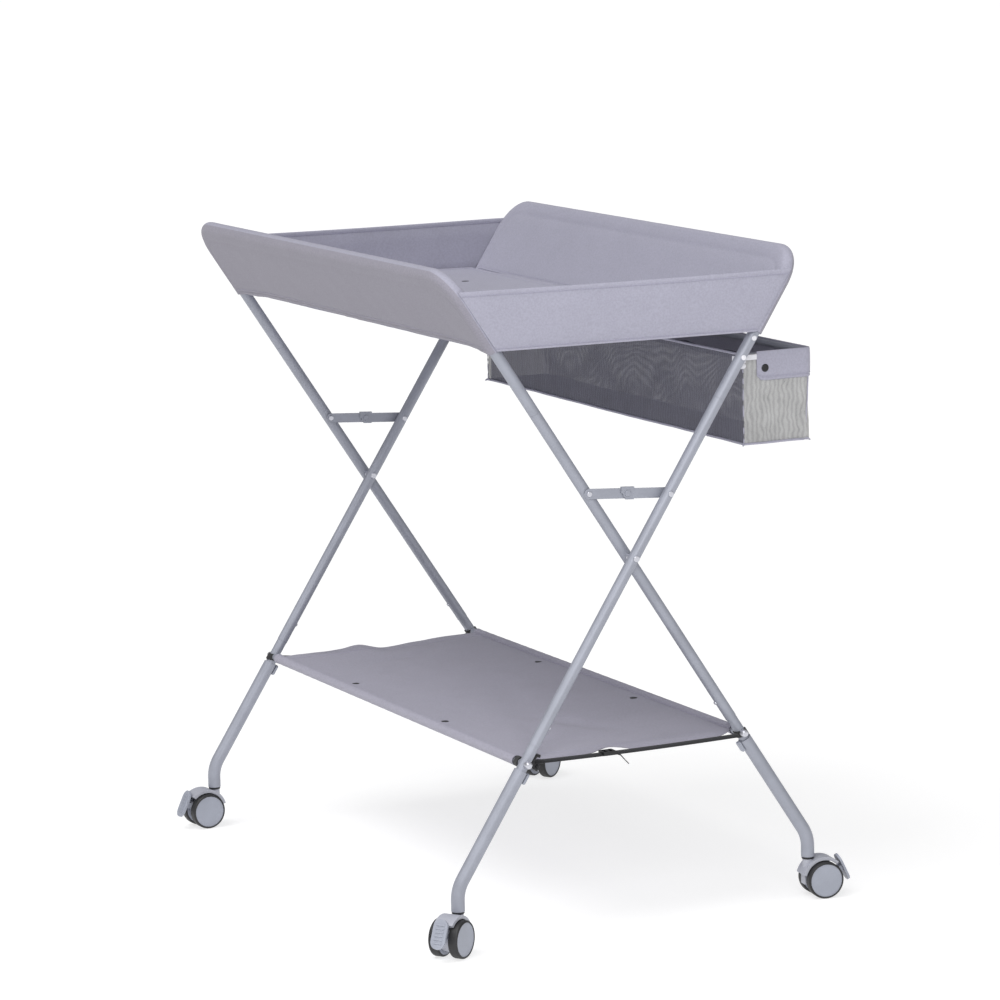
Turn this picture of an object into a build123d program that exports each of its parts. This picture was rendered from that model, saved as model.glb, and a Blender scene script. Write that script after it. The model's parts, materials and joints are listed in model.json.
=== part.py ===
from build123d import *
import math
import os

# Folding changing table on casters. Millimetres, +Z up.
# Two bent-tube frames cross like scissors at P. Frame A carries the left side of the tray and
# stands on the right; frame B carries the right side and the basket and stands on the left.
# The model is built round P (x = 0 and y = 0 mid-way, z = 0 at the pivots) and moved at the end,
# so that its origin is the middle of the underside of its bounding box.

# ---- driving dimensions ----
PIVOT_HEIGHT = 472.0  # scissor pivots above the floor
LEG_ANGLE = 33.0  # each leg from the vertical, opened
END_SPACING = 800.0  # between the near and the far pivot planes
LEG_OFFSET = 10.0  # leg axes stand this far either side of a pivot plane

RAIL_OD, RAIL_ID = 14.4, 12.2  # upper tubes
SPIGOT_WALL = 1.2  # spigot at each end of a top rail, plugged into the leg
SPIGOT_OVERLAP = 6.0
NECK_OD, NECK_ID = 13.6, 11.2  # swaged neck that the lower leg slides on
NECK_OVERLAP = 4.0
LOWER_OD, LOWER_ID = 17.2, 13.76  # lower leg tube
RAIL_REACH = 435.0  # pivot to the top rail's centre line, along the leg
RAIL_BEND = 42.0
JOINT_REACH = 227.0  # joint line between top rail and leg
NECK_START = 265.0  # below the pivot: the upper tube ends and the neck shows
NECK_TUCK = 40.0  # length of neck and of rail spigot inside the next tube
NECK_END = 445.0
LOWER_TOP = 300.0
LOWER_BEND_AT = 466.0
FOOT_BEND = 46.0
FOOT_Z = -418.0  # bottom edge of the lower leg
PLUG_LENGTH = 10.0
RING_OD, RING_LENGTH = 13.4, 3.0
STEM_OD, STEM_DEPTH = 8.0, 17.0
LEG_TRAVEL, LEG_STEPS = 90.0, 6  # height adjustment: seven settings, evenly spaced
CATCH_AT, CATCH_PIN, CATCH_HOLE = -306.0, 4.4, 5.0
CATCH_TIP = 5.0  # from the leg's axis to the end of the pin
TAB_WIDTH, TAB_LENGTH, TAB_THICK, TAB_ROUND = 9.0, 15.0, 3.6, 1.0
FIT = 0.1  # clear space between parts that touch

PIVOT_PIN, PIVOT_HEAD, SPACER_OD = 5.0, 4.2, 9.0
RIVET_SHANK, RIVET_HEAD, HEAD_HEIGHT = 4.0, 3.6, 1.7
BOLT_CAP, BOLT_CAP_HEIGHT = 4.8, 8.0  # radius and height of the shelf-rod bolts' caps
BOLT_GRIP = 14.0
DOME_ROUND = 0.6  # rounding of a head's rim, as a share of its height
SNAP_REACH, SNAP_OD, SNAP_HEIGHT, SNAP_STEM = 236.0, 5.0, 2.0, 3.0

COVER_BOTTOM = 324.0  # hem of the side covers, along the leg
SLEEVE_OD = 18.6
HEM_THICK = 3.2
WALL_LOW, WALL_HIGH = 272.0, 348.0
WALL_THICK, WALL_STANDOFF = 2.4, 1.4
FLOOR_TOP = 281.0
FLOOR_THICK = 3.0
FLOOR_INSET = 9.0  # from the hem to the floor's edge
FLOOR_END_GAP = 1.5
SEAM_GAP = 0.15  # each soft half stops this far short of the middle
STUD_RADIUS, STUD_HEIGHT, STUD_GAP = 5.5, 1.8, 0.05
POCKET_RADIUS, POCKET_DEPTH = 5.9, 1.9  # the cloth is pressed down round each stud
TRAY_STUD_X, TRAY_STUD_Y = 88.0, (-240.0, 250.0)
SHELF_STUD_X, SHELF_STUD_Y = 138.0, (-134.0, 151.0)

ROD_REACH = 290.0  # shelf rods, along the leg below the pivot
ROD_OD, ROD_ID, ROD_GAP = 10.0, 7.0, 0.15  # the gap is between each end and its leg
ROD_SLEEVE_OD, ROD_SLEEVE_ID = 13.0, 10.6
SHELF_THICK = 2.4
SHELF_HALF_LENGTH, SHELF_SKEW = 380.0, 8.0  # the shelf's ends follow the legs' offset
SHELF_TUCK = 5.9  # the sheet's edge runs this far inside the rod's axis
STRAP_REACH, STRAP_WIDTH, STRAP_THICK = 146.0, 10.0, 1.2
STRAP_DROP = 1.8  # below the rods' axes
SLIDER_X = (-46.0, -28.0)
SLIDER_HALF_WIDTH, SLIDER_HALF_THICK = 8.0, 2.4
SLIDER_SLOTS, SLOT_HALF, SLOT_MARGIN, SLOT_HEIGHT = (-41.5, -33.5), 2.0, 0.6, 0.9

BRACE_REACH = {-1: 100.5, 1: 92.0}  # brace rivets, along each frame's leg above the pivot
LINK_WIDTH, LINK_THICK = 13.0, 1.6
LINK_GAP = 0.4  # clear space between the two link layers
LIP_HALF, LIP_THICK = 9.0, 1.4  # stop lip over the middle joint
LIP_GAP = 0.4  # clear space between the lip and the other link's edge
MIDDLE_HEAD = 4.0

BASKET_LOW, BASKET_HIGH = 122.0, 241.0
BASKET_IN, BASKET_OUT = 176.0, 277.0
BASKET_NEAR, BASKET_FAR = -378.0, 372.0
BASKET_CORNER = 10.0
BASKET_SKIN = 2.0
RIM_OD, RIM_DROP, RIM_BEND, RIM_END_GAP = 8.0, 6.0, 7.7, 1.0
BASKET_STUD_X, BASKET_STUD_Z, BASKET_STUD_RADIUS = 208.0, 219.0, 5.2
SCREW_REACHES, SCREW_HEAD, SCREW_HEIGHT = (286.5, 314.5), 3.4, 2.2
BRACKET_THICK = 3.0
BRACKET_PLATE, PLATE_OUT = (34.0, 9.0), 2.0
BRACKET_POST, BRACKET_EAR, BRACKET_ARM = (161.0, 167.0), (169.0, 177.0), (161.0, 195.0)
BRACKET_FOOT = (155.0, 167.0)
BRACKET_HIGH, BRACKET_LOW = 237.5, {"post": 231.0, "ear": 220.5}
BRACKET_KNOB, KNOB_RADIUS, KNOB_HEIGHT = (173.0, 225.0), 3.6, 6.5

WHEEL_OD, HUB_OD = 48.0, 42.6
WHEEL_IN, WHEEL_OUT = 7.5, 20.5  # inner and outer face of a wheel, from the caster's middle
HUB_RECESS, TYRE_ROUND = 0.8, 2.4
TRAIL = 18.0
AXLE_OD, BORE_GAP = 5.0, 0.06
AXLE_SHORT = 3.0  # the axle stops this far inside the wheels' outer faces
CHEEK_HALF = 6.6  # half width of the housing between the wheels
NECK_RADIUS = 6.9
HOOD_R, HOOD_HALF, HOOD_GAP = 29.4, 13.0, 1.2
HOOD_SECTOR = ((-2.0, 0.55), (-2.0, 3.0), (2.0, 3.0), (2.0, 2.15))  # about the axle, in hood radii
WEB_RADIUS = 17.0
SHOULDER_DROP, SHOULDER_TOP = 6.0, 46.0  # below the axle, and above the floor
PEDAL_OFFSET, PEDAL_LENGTH, PEDAL_WIDTH, PEDAL_THICK = 6.6, 38.0, 20.0, 3.0
PEDAL_NORMAL = (0.905, 0.425)
PEDAL_MIDDLE = (28.0, 11.0)  # back of the foot pad, from the axle
PEDAL_PIN = 3.0
TAIL_RADIUS, TAIL_HALF = 4.2, 3.0
CHEEK_IN, CHEEK_OUT, CHEEK_RADIUS = 3.3, 6.0, 4.0
RIB_COUNT, RIB_PITCH, RIB_LENGTH, RIB_WIDTH, RIB_HEIGHT = 6, 4.6, 12.0, 2.2, 0.7

SIN, COS = math.sin(math.radians(LEG_ANGLE)), math.cos(math.radians(LEG_ANGLE))
A, B = -1, 1  # the side (in x) that each frame's top leans to
FRAMES = {"frame_a": A, "frame_b": B}
ENDS = {"near": -END_SPACING / 2, "far": END_SPACING / 2}
# Trailing direction of each caster, degrees about +Z from +X.
CASTER_YAW = {
    "frame_a_near": -8.0,
    "frame_a_far": 32.0,
    "frame_b_near": -144.8,
    "frame_b_far": -176.6,
}
WALL_EDGE_X = (WALL_LOW + WALL_HIGH) / 2 * SIN / COS
WALL_MIDDLE = END_SPACING / 2 + SLEEVE_OD / 2 + WALL_THICK / 2 + WALL_STANDOFF
SHELF_TOP = SHELF_THICK / 2 - ROD_REACH * COS
STRAP_Z = -ROD_REACH * COS - STRAP_DROP
RIM_INSET = BASKET_SKIN + 3 * FIT + RIM_OD / 2
NECK_TOP = PIVOT_HEIGHT + FOOT_Z - RING_LENGTH  # top of the caster's neck, above the floor
AXLE_Z = WHEEL_OD / 2
PEDAL_PIVOT = (
    TRAIL + PEDAL_MIDDLE[0] - PEDAL_NORMAL[0] * PEDAL_OFFSET,
    AXLE_Z + PEDAL_MIDDLE[1] - PEDAL_NORMAL[1] * PEDAL_OFFSET,
)
NODES = {}


def on_leg(side, s, y=0.0, out=0.0):
    """Point on a leg: s along it from the pivot (up is +), out square to it, away from the middle."""
    return Vector(side * (s * SIN + out * COS), y, s * COS - out * SIN)


def leg_dir(side):
    return Vector(side * SIN, 0, COS)


def leg_out(side):
    """Square to a leg, pointing outwards and down above the pivot."""
    return Vector(side * COS, 0, -SIN)


def leg_y(side, end):
    return ENDS[end] - side * LEG_OFFSET


def rod(start, stop, radius):
    """Solid cylinder from start to stop."""
    run = Vector(stop) - Vector(start)
    return extrude(Plane(origin=start, z_dir=run) * Circle(radius), run.length)


def tube(start, stop, outer, inner):
    run = Vector(stop) - Vector(start)
    ring = Circle(outer / 2) - Circle(inner / 2)
    return extrude(Plane(origin=start, z_dir=run) * ring, run.length)


def swept(path, diameter):
    return sweep(Plane(origin=path @ 0, z_dir=path % 0) * Circle(diameter / 2), path=path)


def dome(centre, direction, radius, height):
    """Rivet or cap head: a disc with a rounded top, standing on centre."""
    solid = extrude(Plane(origin=centre, z_dir=direction) * Circle(radius), height)
    top = solid.edges().filter_by(GeomType.CIRCLE).sort_by(
        lambda e: (e.arc_center - Vector(centre)).dot(Vector(direction))
    )
    return fillet(top[-1], min(height, radius) * DOME_ROUND)


def slab(x0, x1, y0, y1, z0, z1):
    return Pos((x0 + x1) / 2, (y0 + y1) / 2, (z0 + z1) / 2) * Box(x1 - x0, y1 - y0, z1 - z0)


def keep(node, *solids):
    NODES[node] = Compound([s for shape in solids for s in shape.solids()])


# ---- frames ----
def rail_path(side, start):
    points = [
        on_leg(side, start, leg_y(side, "near")),
        on_leg(side, RAIL_REACH, leg_y(side, "near")),
        on_leg(side, RAIL_REACH, leg_y(side, "far")),
        on_leg(side, start, leg_y(side, "far")),
    ]
    return FilletPolyline(*points, radius=RAIL_BEND)


def top_rail(side):
    """Bent U tube with a reduced spigot at each end that plugs into the leg below."""
    path = rail_path(side, JOINT_REACH)
    rail = swept(path, RAIL_OD) - swept(path, RAIL_ID)
    for end in ENDS:
        y = leg_y(side, end)
        tip = on_leg(side, JOINT_REACH - NECK_TUCK, y)
        root = on_leg(side, JOINT_REACH + SPIGOT_OVERLAP, y)
        rail += tube(tip, root, RAIL_ID, RAIL_ID - 2 * SPIGOT_WALL)
    return rail


def leg(side, end):
    """Upper tube from the joint line down, and the neck tube plugged into its lower end."""
    y = leg_y(side, end)
    upper = tube(on_leg(side, -NECK_START, y), on_leg(side, JOINT_REACH - 2 * FIT, y), RAIL_OD, RAIL_ID)
    neck = tube(on_leg(side, -NECK_END, y), on_leg(side, -NECK_START - FIT, y), NECK_OD, NECK_ID)
    tuck_start = on_leg(side, -NECK_START - NECK_OVERLAP, y)
    neck += tube(tuck_start, on_leg(side, -NECK_START + NECK_TUCK, y), RAIL_ID - FIT, NECK_ID)
    for s, radius in ((0, PIVOT_PIN / 2 + BORE_GAP), (BRACE_REACH[side], RIVET_SHANK / 2 + FIT)):
        upper -= rod(on_leg(side, s, y - RAIL_OD), on_leg(side, s, y + RAIL_OD), radius)
    bolt = RIVET_SHANK / 2 + FIT
    neck -= rod(on_leg(side, -ROD_REACH, y - RAIL_OD), on_leg(side, -ROD_REACH, y + RAIL_OD), bolt)
    for step in range(LEG_STEPS + 1):
        s = CATCH_AT - step * LEG_TRAVEL / LEG_STEPS
        neck -= rod(on_leg(side, s, y), on_leg(side, s, y, out=RAIL_OD), CATCH_HOLE / 2)
    snap_far = on_leg(side, -SNAP_REACH, y, out=RAIL_OD)
    snap = rod(on_leg(side, -SNAP_REACH, y), snap_far, SNAP_OD / 2 + FIT)
    return upper - snap, neck - snap


def rivet(y0, y1, x, z, radius, head, back=True):
    """Rivet along Y from y0 to y1, domed at the y0 end and also at the y1 end if back."""
    shank = rod((x, y0, z), (x, y1, z), radius)
    solid = shank + dome((x, y0, z), (0, -1, 0), head, HEAD_HEIGHT)
    return solid + dome((x, y1, z), (0, 1, 0), head, HEAD_HEIGHT) if back else solid


def scissor_pivots():
    solids = []
    for y in ENDS.values():
        half = LEG_OFFSET + RAIL_OD / 2 + FIT
        solids.append(rivet(y - half, y + half, 0, 0, PIVOT_PIN / 2, PIVOT_HEAD))
        gap = LEG_OFFSET - RAIL_OD / 2 - FIT
        solids.append(tube((0, y - gap, 0), (0, y + gap, 0), SPACER_OD, PIVOT_PIN))
    return solids


def frame_fasteners(side):
    """Brace rivets, shelf-rod bolts with domed caps, and the snap buttons of the neck tubes.
    Frame B's brace rivets stop inside its legs, clear of the links."""
    solids = []
    for end in ENDS:
        y = leg_y(side, end)
        brace = on_leg(side, BRACE_REACH[side])
        shank = RIVET_SHANK / 2
        if side == A:
            front = ENDS[end] + LINK_GAP / 2 - FIT / 2
            back = y + RAIL_OD / 2 + FIT
            solids.append(rivet(front, back, brace.X, brace.Z, shank, RIVET_HEAD))
        else:
            front = y - RAIL_OD / 2 - FIT
            solids.append(rivet(front, y + RAIL_ID / 2, brace.X, brace.Z, shank, RIVET_HEAD, False))
        outward = -1 if end == "near" else 1
        seat = y + outward * (NECK_OD / 2 + FIT)
        bolt = on_leg(side, -ROD_REACH)
        tip = y - outward * (NECK_OD / 2 + BOLT_GRIP)
        bolt_shank = rod((bolt.X, seat, bolt.Z), (bolt.X, tip, bolt.Z), shank)
        cap = dome((bolt.X, seat, bolt.Z), (0, outward, 0), BOLT_CAP, BOLT_CAP_HEIGHT)
        solids.append(bolt_shank + cap)
        crown = on_leg(side, -SNAP_REACH, y, out=RAIL_OD / 2 - SNAP_HEIGHT / 4)
        stem = rod(on_leg(side, -SNAP_REACH, y, out=RAIL_OD / 2 - SNAP_STEM), crown, SNAP_OD / 2)
        solids.append(stem + dome(crown, leg_out(side), SNAP_OD / 2, SNAP_HEIGHT))
    return solids


def shelf_rod(side):
    gap = NECK_OD / 2 + ROD_GAP
    start = on_leg(side, -ROD_REACH, leg_y(side, "near") + gap)
    stop = on_leg(side, -ROD_REACH, leg_y(side, "far") - gap)
    return tube(start, stop, ROD_OD, ROD_ID)


def side_cover(side):
    """Cloth panel over the top U: as thick as the tube's sleeve at the top, tapering to its hem."""
    path = rail_path(side, COVER_BOTTOM)
    close = Line(path @ 1, path @ 0)
    panel = make_face(Wire([*path.edges(), close.edge()]))
    taper = [
        on_leg(side, s, out=out)
        for s, out in (
            (COVER_BOTTOM, -HEM_THICK / 2),
            (COVER_BOTTOM, HEM_THICK / 2),
            (RAIL_REACH, SLEEVE_OD / 2),
            (RAIL_REACH, -SLEEVE_OD / 2),
        )
    ]
    corners = [(p.X, p.Z) for p in taper]
    wedge = extrude(Plane.XZ * make_face(Polyline(*corners, close=True)), END_SPACING, both=True)
    core = extrude(panel, SLEEVE_OD, dir=leg_out(side)) + extrude(panel, SLEEVE_OD, dir=-leg_out(side))
    room = swept(rail_path(side, COVER_BOTTOM - SLEEVE_OD), RAIL_OD + 3 * FIT)
    return (core & wedge) + swept(path, SLEEVE_OD) - room


# ---- lower legs ----
def lower_leg(side, end):
    """Wider tube bent upright at the foot; the caster's plug and stem are pressed into it."""
    y = leg_y(side, end)
    foot = on_leg(side, -LOWER_BEND_AT, y)
    points = [on_leg(side, -LOWER_TOP, y), foot, Vector(foot.X, y, FOOT_Z)]
    path = FilletPolyline(*points, radius=FOOT_BEND)
    shell = swept(path, LOWER_OD) - swept(path, LOWER_ID)
    hole = CATCH_PIN / 2 + BORE_GAP
    shell -= rod(on_leg(side, CATCH_AT, y), on_leg(side, CATCH_AT, y, out=LOWER_OD), hole)

    def upright(low, high, diameter):
        return rod((foot.X, y, FOOT_Z + low), (foot.X, y, FOOT_Z + high), diameter / 2)

    ring = upright(-RING_LENGTH, 0, RING_OD)
    return shell, upright(0, PLUG_LENGTH, LOWER_ID) + ring + upright(-STEM_DEPTH, 0, STEM_OD)


def leg_catch(side, end):
    """Sprung pin with a finger tab on the underside of the lower leg."""
    y = leg_y(side, end)
    floor = LOWER_OD / 2 + 2 * FIT
    root = on_leg(side, CATCH_AT, y, out=floor + TAB_THICK / 2)
    pin = rod(on_leg(side, CATCH_AT, y, out=CATCH_TIP), root, CATCH_PIN / 2)
    seat = Plane(origin=on_leg(side, CATCH_AT, y, out=floor), x_dir=leg_dir(side), z_dir=leg_out(side))
    tab = extrude(seat * RectangleRounded(TAB_LENGTH, TAB_WIDTH, TAB_WIDTH / 3), TAB_THICK)
    crown = tab.faces().sort_by(lambda f: (f.center() - seat.origin).dot(seat.z_dir))[-1]
    return pin + fillet(crown.edges(), TAB_ROUND)


# ---- casters, modelled with the stem on the Z axis, trailing along +X, standing on z = 0 ----
def across(radius, half, x, z):
    """Cylinder along Y, centred on the caster's middle."""
    return rod((x, -half, z), (x, half, z), radius)


def caster_housing():
    """Cheek between the wheels with a neck, a hood over the tyres and a tail for the brake."""
    cheek = across(WEB_RADIUS, CHEEK_HALF, TRAIL, AXLE_Z)
    neck = rod((0, 0, AXLE_Z), (0, 0, NECK_TOP - 2 * FIT), NECK_RADIUS)
    shoulder = slab(-NECK_RADIUS, TRAIL, -CHEEK_HALF, CHEEK_HALF, AXLE_Z - SHOULDER_DROP, SHOULDER_TOP)
    shoulder = shoulder & across(HOOD_R, CHEEK_HALF, TRAIL, AXLE_Z)
    tyre_room = across(WHEEL_OD / 2 + HOOD_GAP, WHEEL_OD, TRAIL, AXLE_Z)
    hood = across(HOOD_R, HOOD_HALF, TRAIL, AXLE_Z) - tyre_room
    sector = [(TRAIL, AXLE_Z)] + [(TRAIL + x * HOOD_R, AXLE_Z + z * HOOD_R) for x, z in HOOD_SECTOR]
    hood = hood & extrude(Plane.XZ * make_face(Polyline(*sector, close=True)), WHEEL_OD, both=True)
    core = across(HOOD_R, CHEEK_HALF, TRAIL, AXLE_Z)
    neck = (neck - tyre_room) + (neck & core)
    tail_x, tail_z = PEDAL_PIVOT
    tail = slab(TRAIL, tail_x, -TAIL_HALF, TAIL_HALF, tail_z - TAIL_RADIUS, tail_z + TAIL_RADIUS)
    tail += across(TAIL_RADIUS, TAIL_HALF, tail_x, tail_z)
    body = cheek + shoulder + hood + neck + tail
    body -= rod((0, 0, NECK_TOP - 2 * FIT), (0, 0, NECK_TOP + HOOD_R), RING_OD / 2 + FIT)
    stem_end = NECK_TOP + RING_LENGTH - STEM_DEPTH - 2 * FIT
    body -= rod((0, 0, stem_end), (0, 0, NECK_TOP), STEM_OD / 2 + BORE_GAP)
    body -= across(AXLE_OD / 2, WHEEL_OD, TRAIL, AXLE_Z)
    body -= across(PEDAL_PIN / 2, WHEEL_OD, tail_x, tail_z)
    axle = across(AXLE_OD / 2, WHEEL_OUT - AXLE_SHORT, TRAIL, AXLE_Z)
    return body, axle, across(PEDAL_PIN / 2, CHEEK_OUT, tail_x, tail_z)


def wheel_face(sign):
    """Inner face of the wheel on one side of the caster."""
    return Plane(origin=(TRAIL, sign * WHEEL_IN, AXLE_Z), z_dir=(0, sign, 0))


def hubs():
    """A plain disc each side, bored only part of the way through."""
    depth, bore = WHEEL_OUT - WHEEL_IN - HUB_RECESS, WHEEL_OUT - WHEEL_IN - AXLE_SHORT + FIT
    return [
        extrude(wheel_face(sign) * Circle(HUB_OD / 2), depth)
        - extrude(wheel_face(sign) * Circle(AXLE_OD / 2 + BORE_GAP), bore)
        for sign in (-1, 1)
    ]


def tyres():
    """A ring with rounded rims each side."""
    solids = []
    for sign in (-1, 1):
        outline = Circle(WHEEL_OD / 2) - Circle(HUB_OD / 2 + FIT / 2)
        ring = extrude(wheel_face(sign) * outline, WHEEL_OUT - WHEEL_IN)
        circles = ring.edges().filter_by(GeomType.CIRCLE)
        rims = circles.filter_by(lambda e: abs(e.radius - WHEEL_OD / 2) < FIT)
        solids.append(fillet(rims, TYRE_ROUND))
    return solids


def brake_pedal():
    """Ribbed foot pad on two cheeks that hang on the housing's pin."""
    px, pz = PEDAL_PIVOT
    nx, nz = PEDAL_NORMAL
    base = Plane(
        origin=(px + nx * PEDAL_OFFSET, 0, pz + nz * PEDAL_OFFSET), x_dir=(0, 1, 0), z_dir=(nx, 0, nz)
    )
    outline = RectangleRounded(PEDAL_WIDTH, PEDAL_LENGTH, PEDAL_WIDTH / 2 - FIT)
    pad = extrude(base * outline, PEDAL_THICK)
    face = base.offset(PEDAL_THICK)
    rib = RectangleRounded(RIB_LENGTH, RIB_WIDTH, RIB_WIDTH / 2 - FIT)
    ribs = [
        extrude(face * Pos(0, (step - (RIB_COUNT - 1) / 2) * RIB_PITCH) * rib, RIB_HEIGHT)
        for step in range(RIB_COUNT)
    ]
    cheeks = []
    for sign in (-1, 1):
        y0, y1 = sorted((sign * CHEEK_IN, sign * CHEEK_OUT))
        cheek = extrude(Plane.XZ.offset(-y1) * Pos(px, pz) * Circle(CHEEK_RADIUS), y1 - y0)
        arm = base.offset(-PEDAL_OFFSET) * Pos((y0 + y1) / 2, 0, PEDAL_OFFSET / 2)
        cheeks.append(cheek + arm * Box(y1 - y0, 2 * CHEEK_RADIUS, PEDAL_OFFSET))
    pedal = pad + ribs + cheeks
    return pedal - across(PEDAL_PIN / 2 + BORE_GAP, WHEEL_OD, px, pz)


# ---- braces ----
def brace_points():
    """The rivets on frame A and frame B, and the joint midway between them."""
    ends = {side: on_leg(side, BRACE_REACH[side]) for side in (A, B)}
    return ends[A], (ends[A] + ends[B]) / 2, ends[B]


def brace_link(end, side):
    """Flat link in the gap between the crossing legs: side A lies behind, side B in front."""
    y = ENDS[end]
    left, middle, right = brace_points()
    outer = left if side == A else right
    half = (outer - middle).length
    tilt = math.degrees(math.atan2(left.Z - right.Z, right.X - left.X))
    y0 = y + LINK_GAP / 2 if side == A else y - LINK_GAP / 2 - LINK_THICK
    turn = Pos(middle.X, 0, middle.Z) * Rot(0, tilt, 0)
    outline = Pos(side * half / 2, 0) * SlotCenterToCenter(half, LINK_WIDTH)
    plate = extrude(Plane.XZ.offset(-(y0 + LINK_THICK)) * outline, LINK_THICK)

    def hole(x):
        return rod((x, y0 - LINK_THICK, 0), (x, y0 + 2 * LINK_THICK, 0), RIVET_SHANK / 2 + BORE_GAP)

    if side == A:
        front = y - LINK_GAP / 2 - LINK_THICK - FIT / 2
        centre = rivet(front, y0 + LINK_THICK, 0, 0, RIVET_SHANK / 2, MIDDLE_HEAD)
        return turn * (plate - hole(side * half) + centre)
    lip_z = LINK_WIDTH / 2 + LIP_GAP
    channel = slab(-LIP_HALF, LIP_HALF, y0, y0 + LINK_THICK, 0, lip_z + LIP_THICK)
    skirt = slab(-LIP_HALF / 3, LIP_HALF, y0, y0 + LINK_THICK, -lip_z - LIP_THICK / 2, 0)
    lip = slab(-LIP_HALF, LIP_HALF, y0, y0 + 2 * LINK_THICK + LINK_GAP, lip_z, lip_z + LIP_THICK)
    return turn * (plate + channel + skirt + lip - hole(side * half) - hole(0))


# ---- tray ----
def wall_y(end, x, inside=0.0):
    """Middle of an end wall's thickness: it runs from the outside of one sleeve to that of the other."""
    outward = -1 if end == "near" else 1
    return outward * (WALL_MIDDLE - inside) - LEG_OFFSET * x / WALL_EDGE_X


def stud(x, y, z, direction, radius=STUD_RADIUS):
    return dome((x, y, z), direction, radius, STUD_HEIGHT)


def flat_studs(x, rows, top):
    """Snap studs sunk in their pockets, and the pockets."""
    low = top - POCKET_DEPTH
    studs = [stud(x, y, low + STUD_GAP, (0, 0, 1)) for y in rows]
    pockets = [rod((x, y, low), (x, y, low + 2 * POCKET_DEPTH), POCKET_RADIUS) for y in rows]
    return studs, pockets


def tray_floor(side):
    """Half of the padded floor, hinged on the side cover's hem."""
    inner, outer = side * SEAM_GAP, side * (COVER_BOTTOM * SIN - FLOOR_INSET)
    inset = WALL_THICK / 2 + FLOOR_END_GAP
    corners = [(x, wall_y(end, x, inset)) for x, end in (
        (inner, "near"), (outer, "near"), (outer, "far"), (inner, "far"))]
    base = Plane.XY.offset(FLOOR_TOP - FLOOR_THICK) * make_face(Polyline(*corners, close=True))
    pockets = flat_studs(side * TRAY_STUD_X, TRAY_STUD_Y, FLOOR_TOP)[1]
    return extrude(base, FLOOR_THICK, dir=(0, 0, 1)) - pockets


def end_wall(side, end):
    """Half of an end wall; its slanted edge lies along the front of the cover's sleeve."""
    inner = side * SEAM_GAP
    corners = [
        (inner, WALL_LOW),
        (side * WALL_LOW * SIN / COS, WALL_LOW),
        (side * WALL_HIGH * SIN / COS, WALL_HIGH),
        (inner, WALL_HIGH),
    ]
    outline = extrude(Plane.XZ * make_face(Polyline(*corners, close=True)), END_SPACING, both=True)
    plan = [(x, wall_y(end, x, inside)) for x, inside in (
        (inner, WALL_THICK / 2), (side * END_SPACING, WALL_THICK / 2),
        (side * END_SPACING, -WALL_THICK / 2), (inner, -WALL_THICK / 2))]
    return outline & extrude(make_face(Polyline(*plan, close=True)), END_SPACING, both=True)


def tray_studs(side):
    return flat_studs(side * TRAY_STUD_X, TRAY_STUD_Y, FLOOR_TOP)[0]


# ---- shelf ----
def shelf_skew(x):
    """The shelf's ends follow the legs, which stand a little apart in y at the two sides."""
    return x / (ROD_REACH * SIN) * SHELF_SKEW


def shelf_half(side):
    """Half of the shelf cloth with its sleeve round the rod. Side A hangs on frame A's rod."""
    x_rod, z_rod = -side * ROD_REACH * SIN, -ROD_REACH * COS
    x_mid, reach = -side * SEAM_GAP, (abs(x_rod) - SHELF_TUCK) * -side
    corners = [(x, y + shelf_skew(x)) for x, y in (
        (x_mid, -SHELF_HALF_LENGTH), (reach, -SHELF_HALF_LENGTH),
        (reach, SHELF_HALF_LENGTH), (x_mid, SHELF_HALF_LENGTH))]
    base = Plane.XY.offset(SHELF_TOP - SHELF_THICK) * make_face(Polyline(*corners, close=True))
    pockets = flat_studs(-side * SHELF_STUD_X, SHELF_STUD_Y, SHELF_TOP)[1]
    start = Vector(x_rod, shelf_skew(x_rod) - SHELF_HALF_LENGTH, z_rod)
    stop = start + Vector(0, 2 * SHELF_HALF_LENGTH, 0)
    sleeve = tube(start, stop, ROD_SLEEVE_OD, ROD_SLEEVE_ID)
    return extrude(base, SHELF_THICK, dir=(0, 0, 1)) - pockets + sleeve


def shelf_studs(side):
    return flat_studs(-side * SHELF_STUD_X, SHELF_STUD_Y, SHELF_TOP)[0]


def shelf_straps(side):
    """Webbing lying flat from leg to leg, near and far: one half of each."""
    x0, x1 = sorted((-side * SEAM_GAP, -side * STRAP_REACH))
    half, low = STRAP_WIDTH / 2, STRAP_Z - STRAP_THICK / 2
    return [slab(x0, x1, y - half, y + half, low, low + STRAP_THICK) for y in ENDS.values()]


def strap_slider():
    """Three-bar slider that shortens the near strap."""
    x0, x1 = SLIDER_X
    slot = STRAP_WIDTH / 2 + SLOT_MARGIN

    def block(start, stop, half_width, half_height):
        return Pos(0, ENDS["near"], STRAP_Z) * slab(
            start, stop, -half_width, half_width, -half_height, half_height
        )

    plate = block(x0, x1, SLIDER_HALF_WIDTH, SLIDER_HALF_THICK)
    for x in SLIDER_SLOTS:
        plate -= block(x - SLOT_HALF, x + SLOT_HALF, slot, 2 * SLIDER_HALF_THICK)
    return plate - block(x0 - SLOT_HALF, x1 + SLOT_HALF, slot, SLOT_HEIGHT)


# ---- basket ----
def basket_outline(inset, low, high):
    """Prism of the basket's plan: square at the legs, rounded at the outer corners."""
    x0, x1 = BASKET_IN + inset, BASKET_OUT - inset
    y0, y1 = BASKET_NEAR + inset, BASKET_FAR - inset
    block = slab(x0, x1, y0, y1, low, high)
    corners = block.edges().filter_by(Axis.Z).sort_by(Axis.X)[-2:]
    return fillet(corners, BASKET_CORNER - inset)


def basket_bag():
    return basket_outline(0, BASKET_LOW, BASKET_HIGH) - basket_outline(
        BASKET_SKIN, BASKET_LOW + BASKET_SKIN, BASKET_HIGH + BASKET_SKIN
    )


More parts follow.
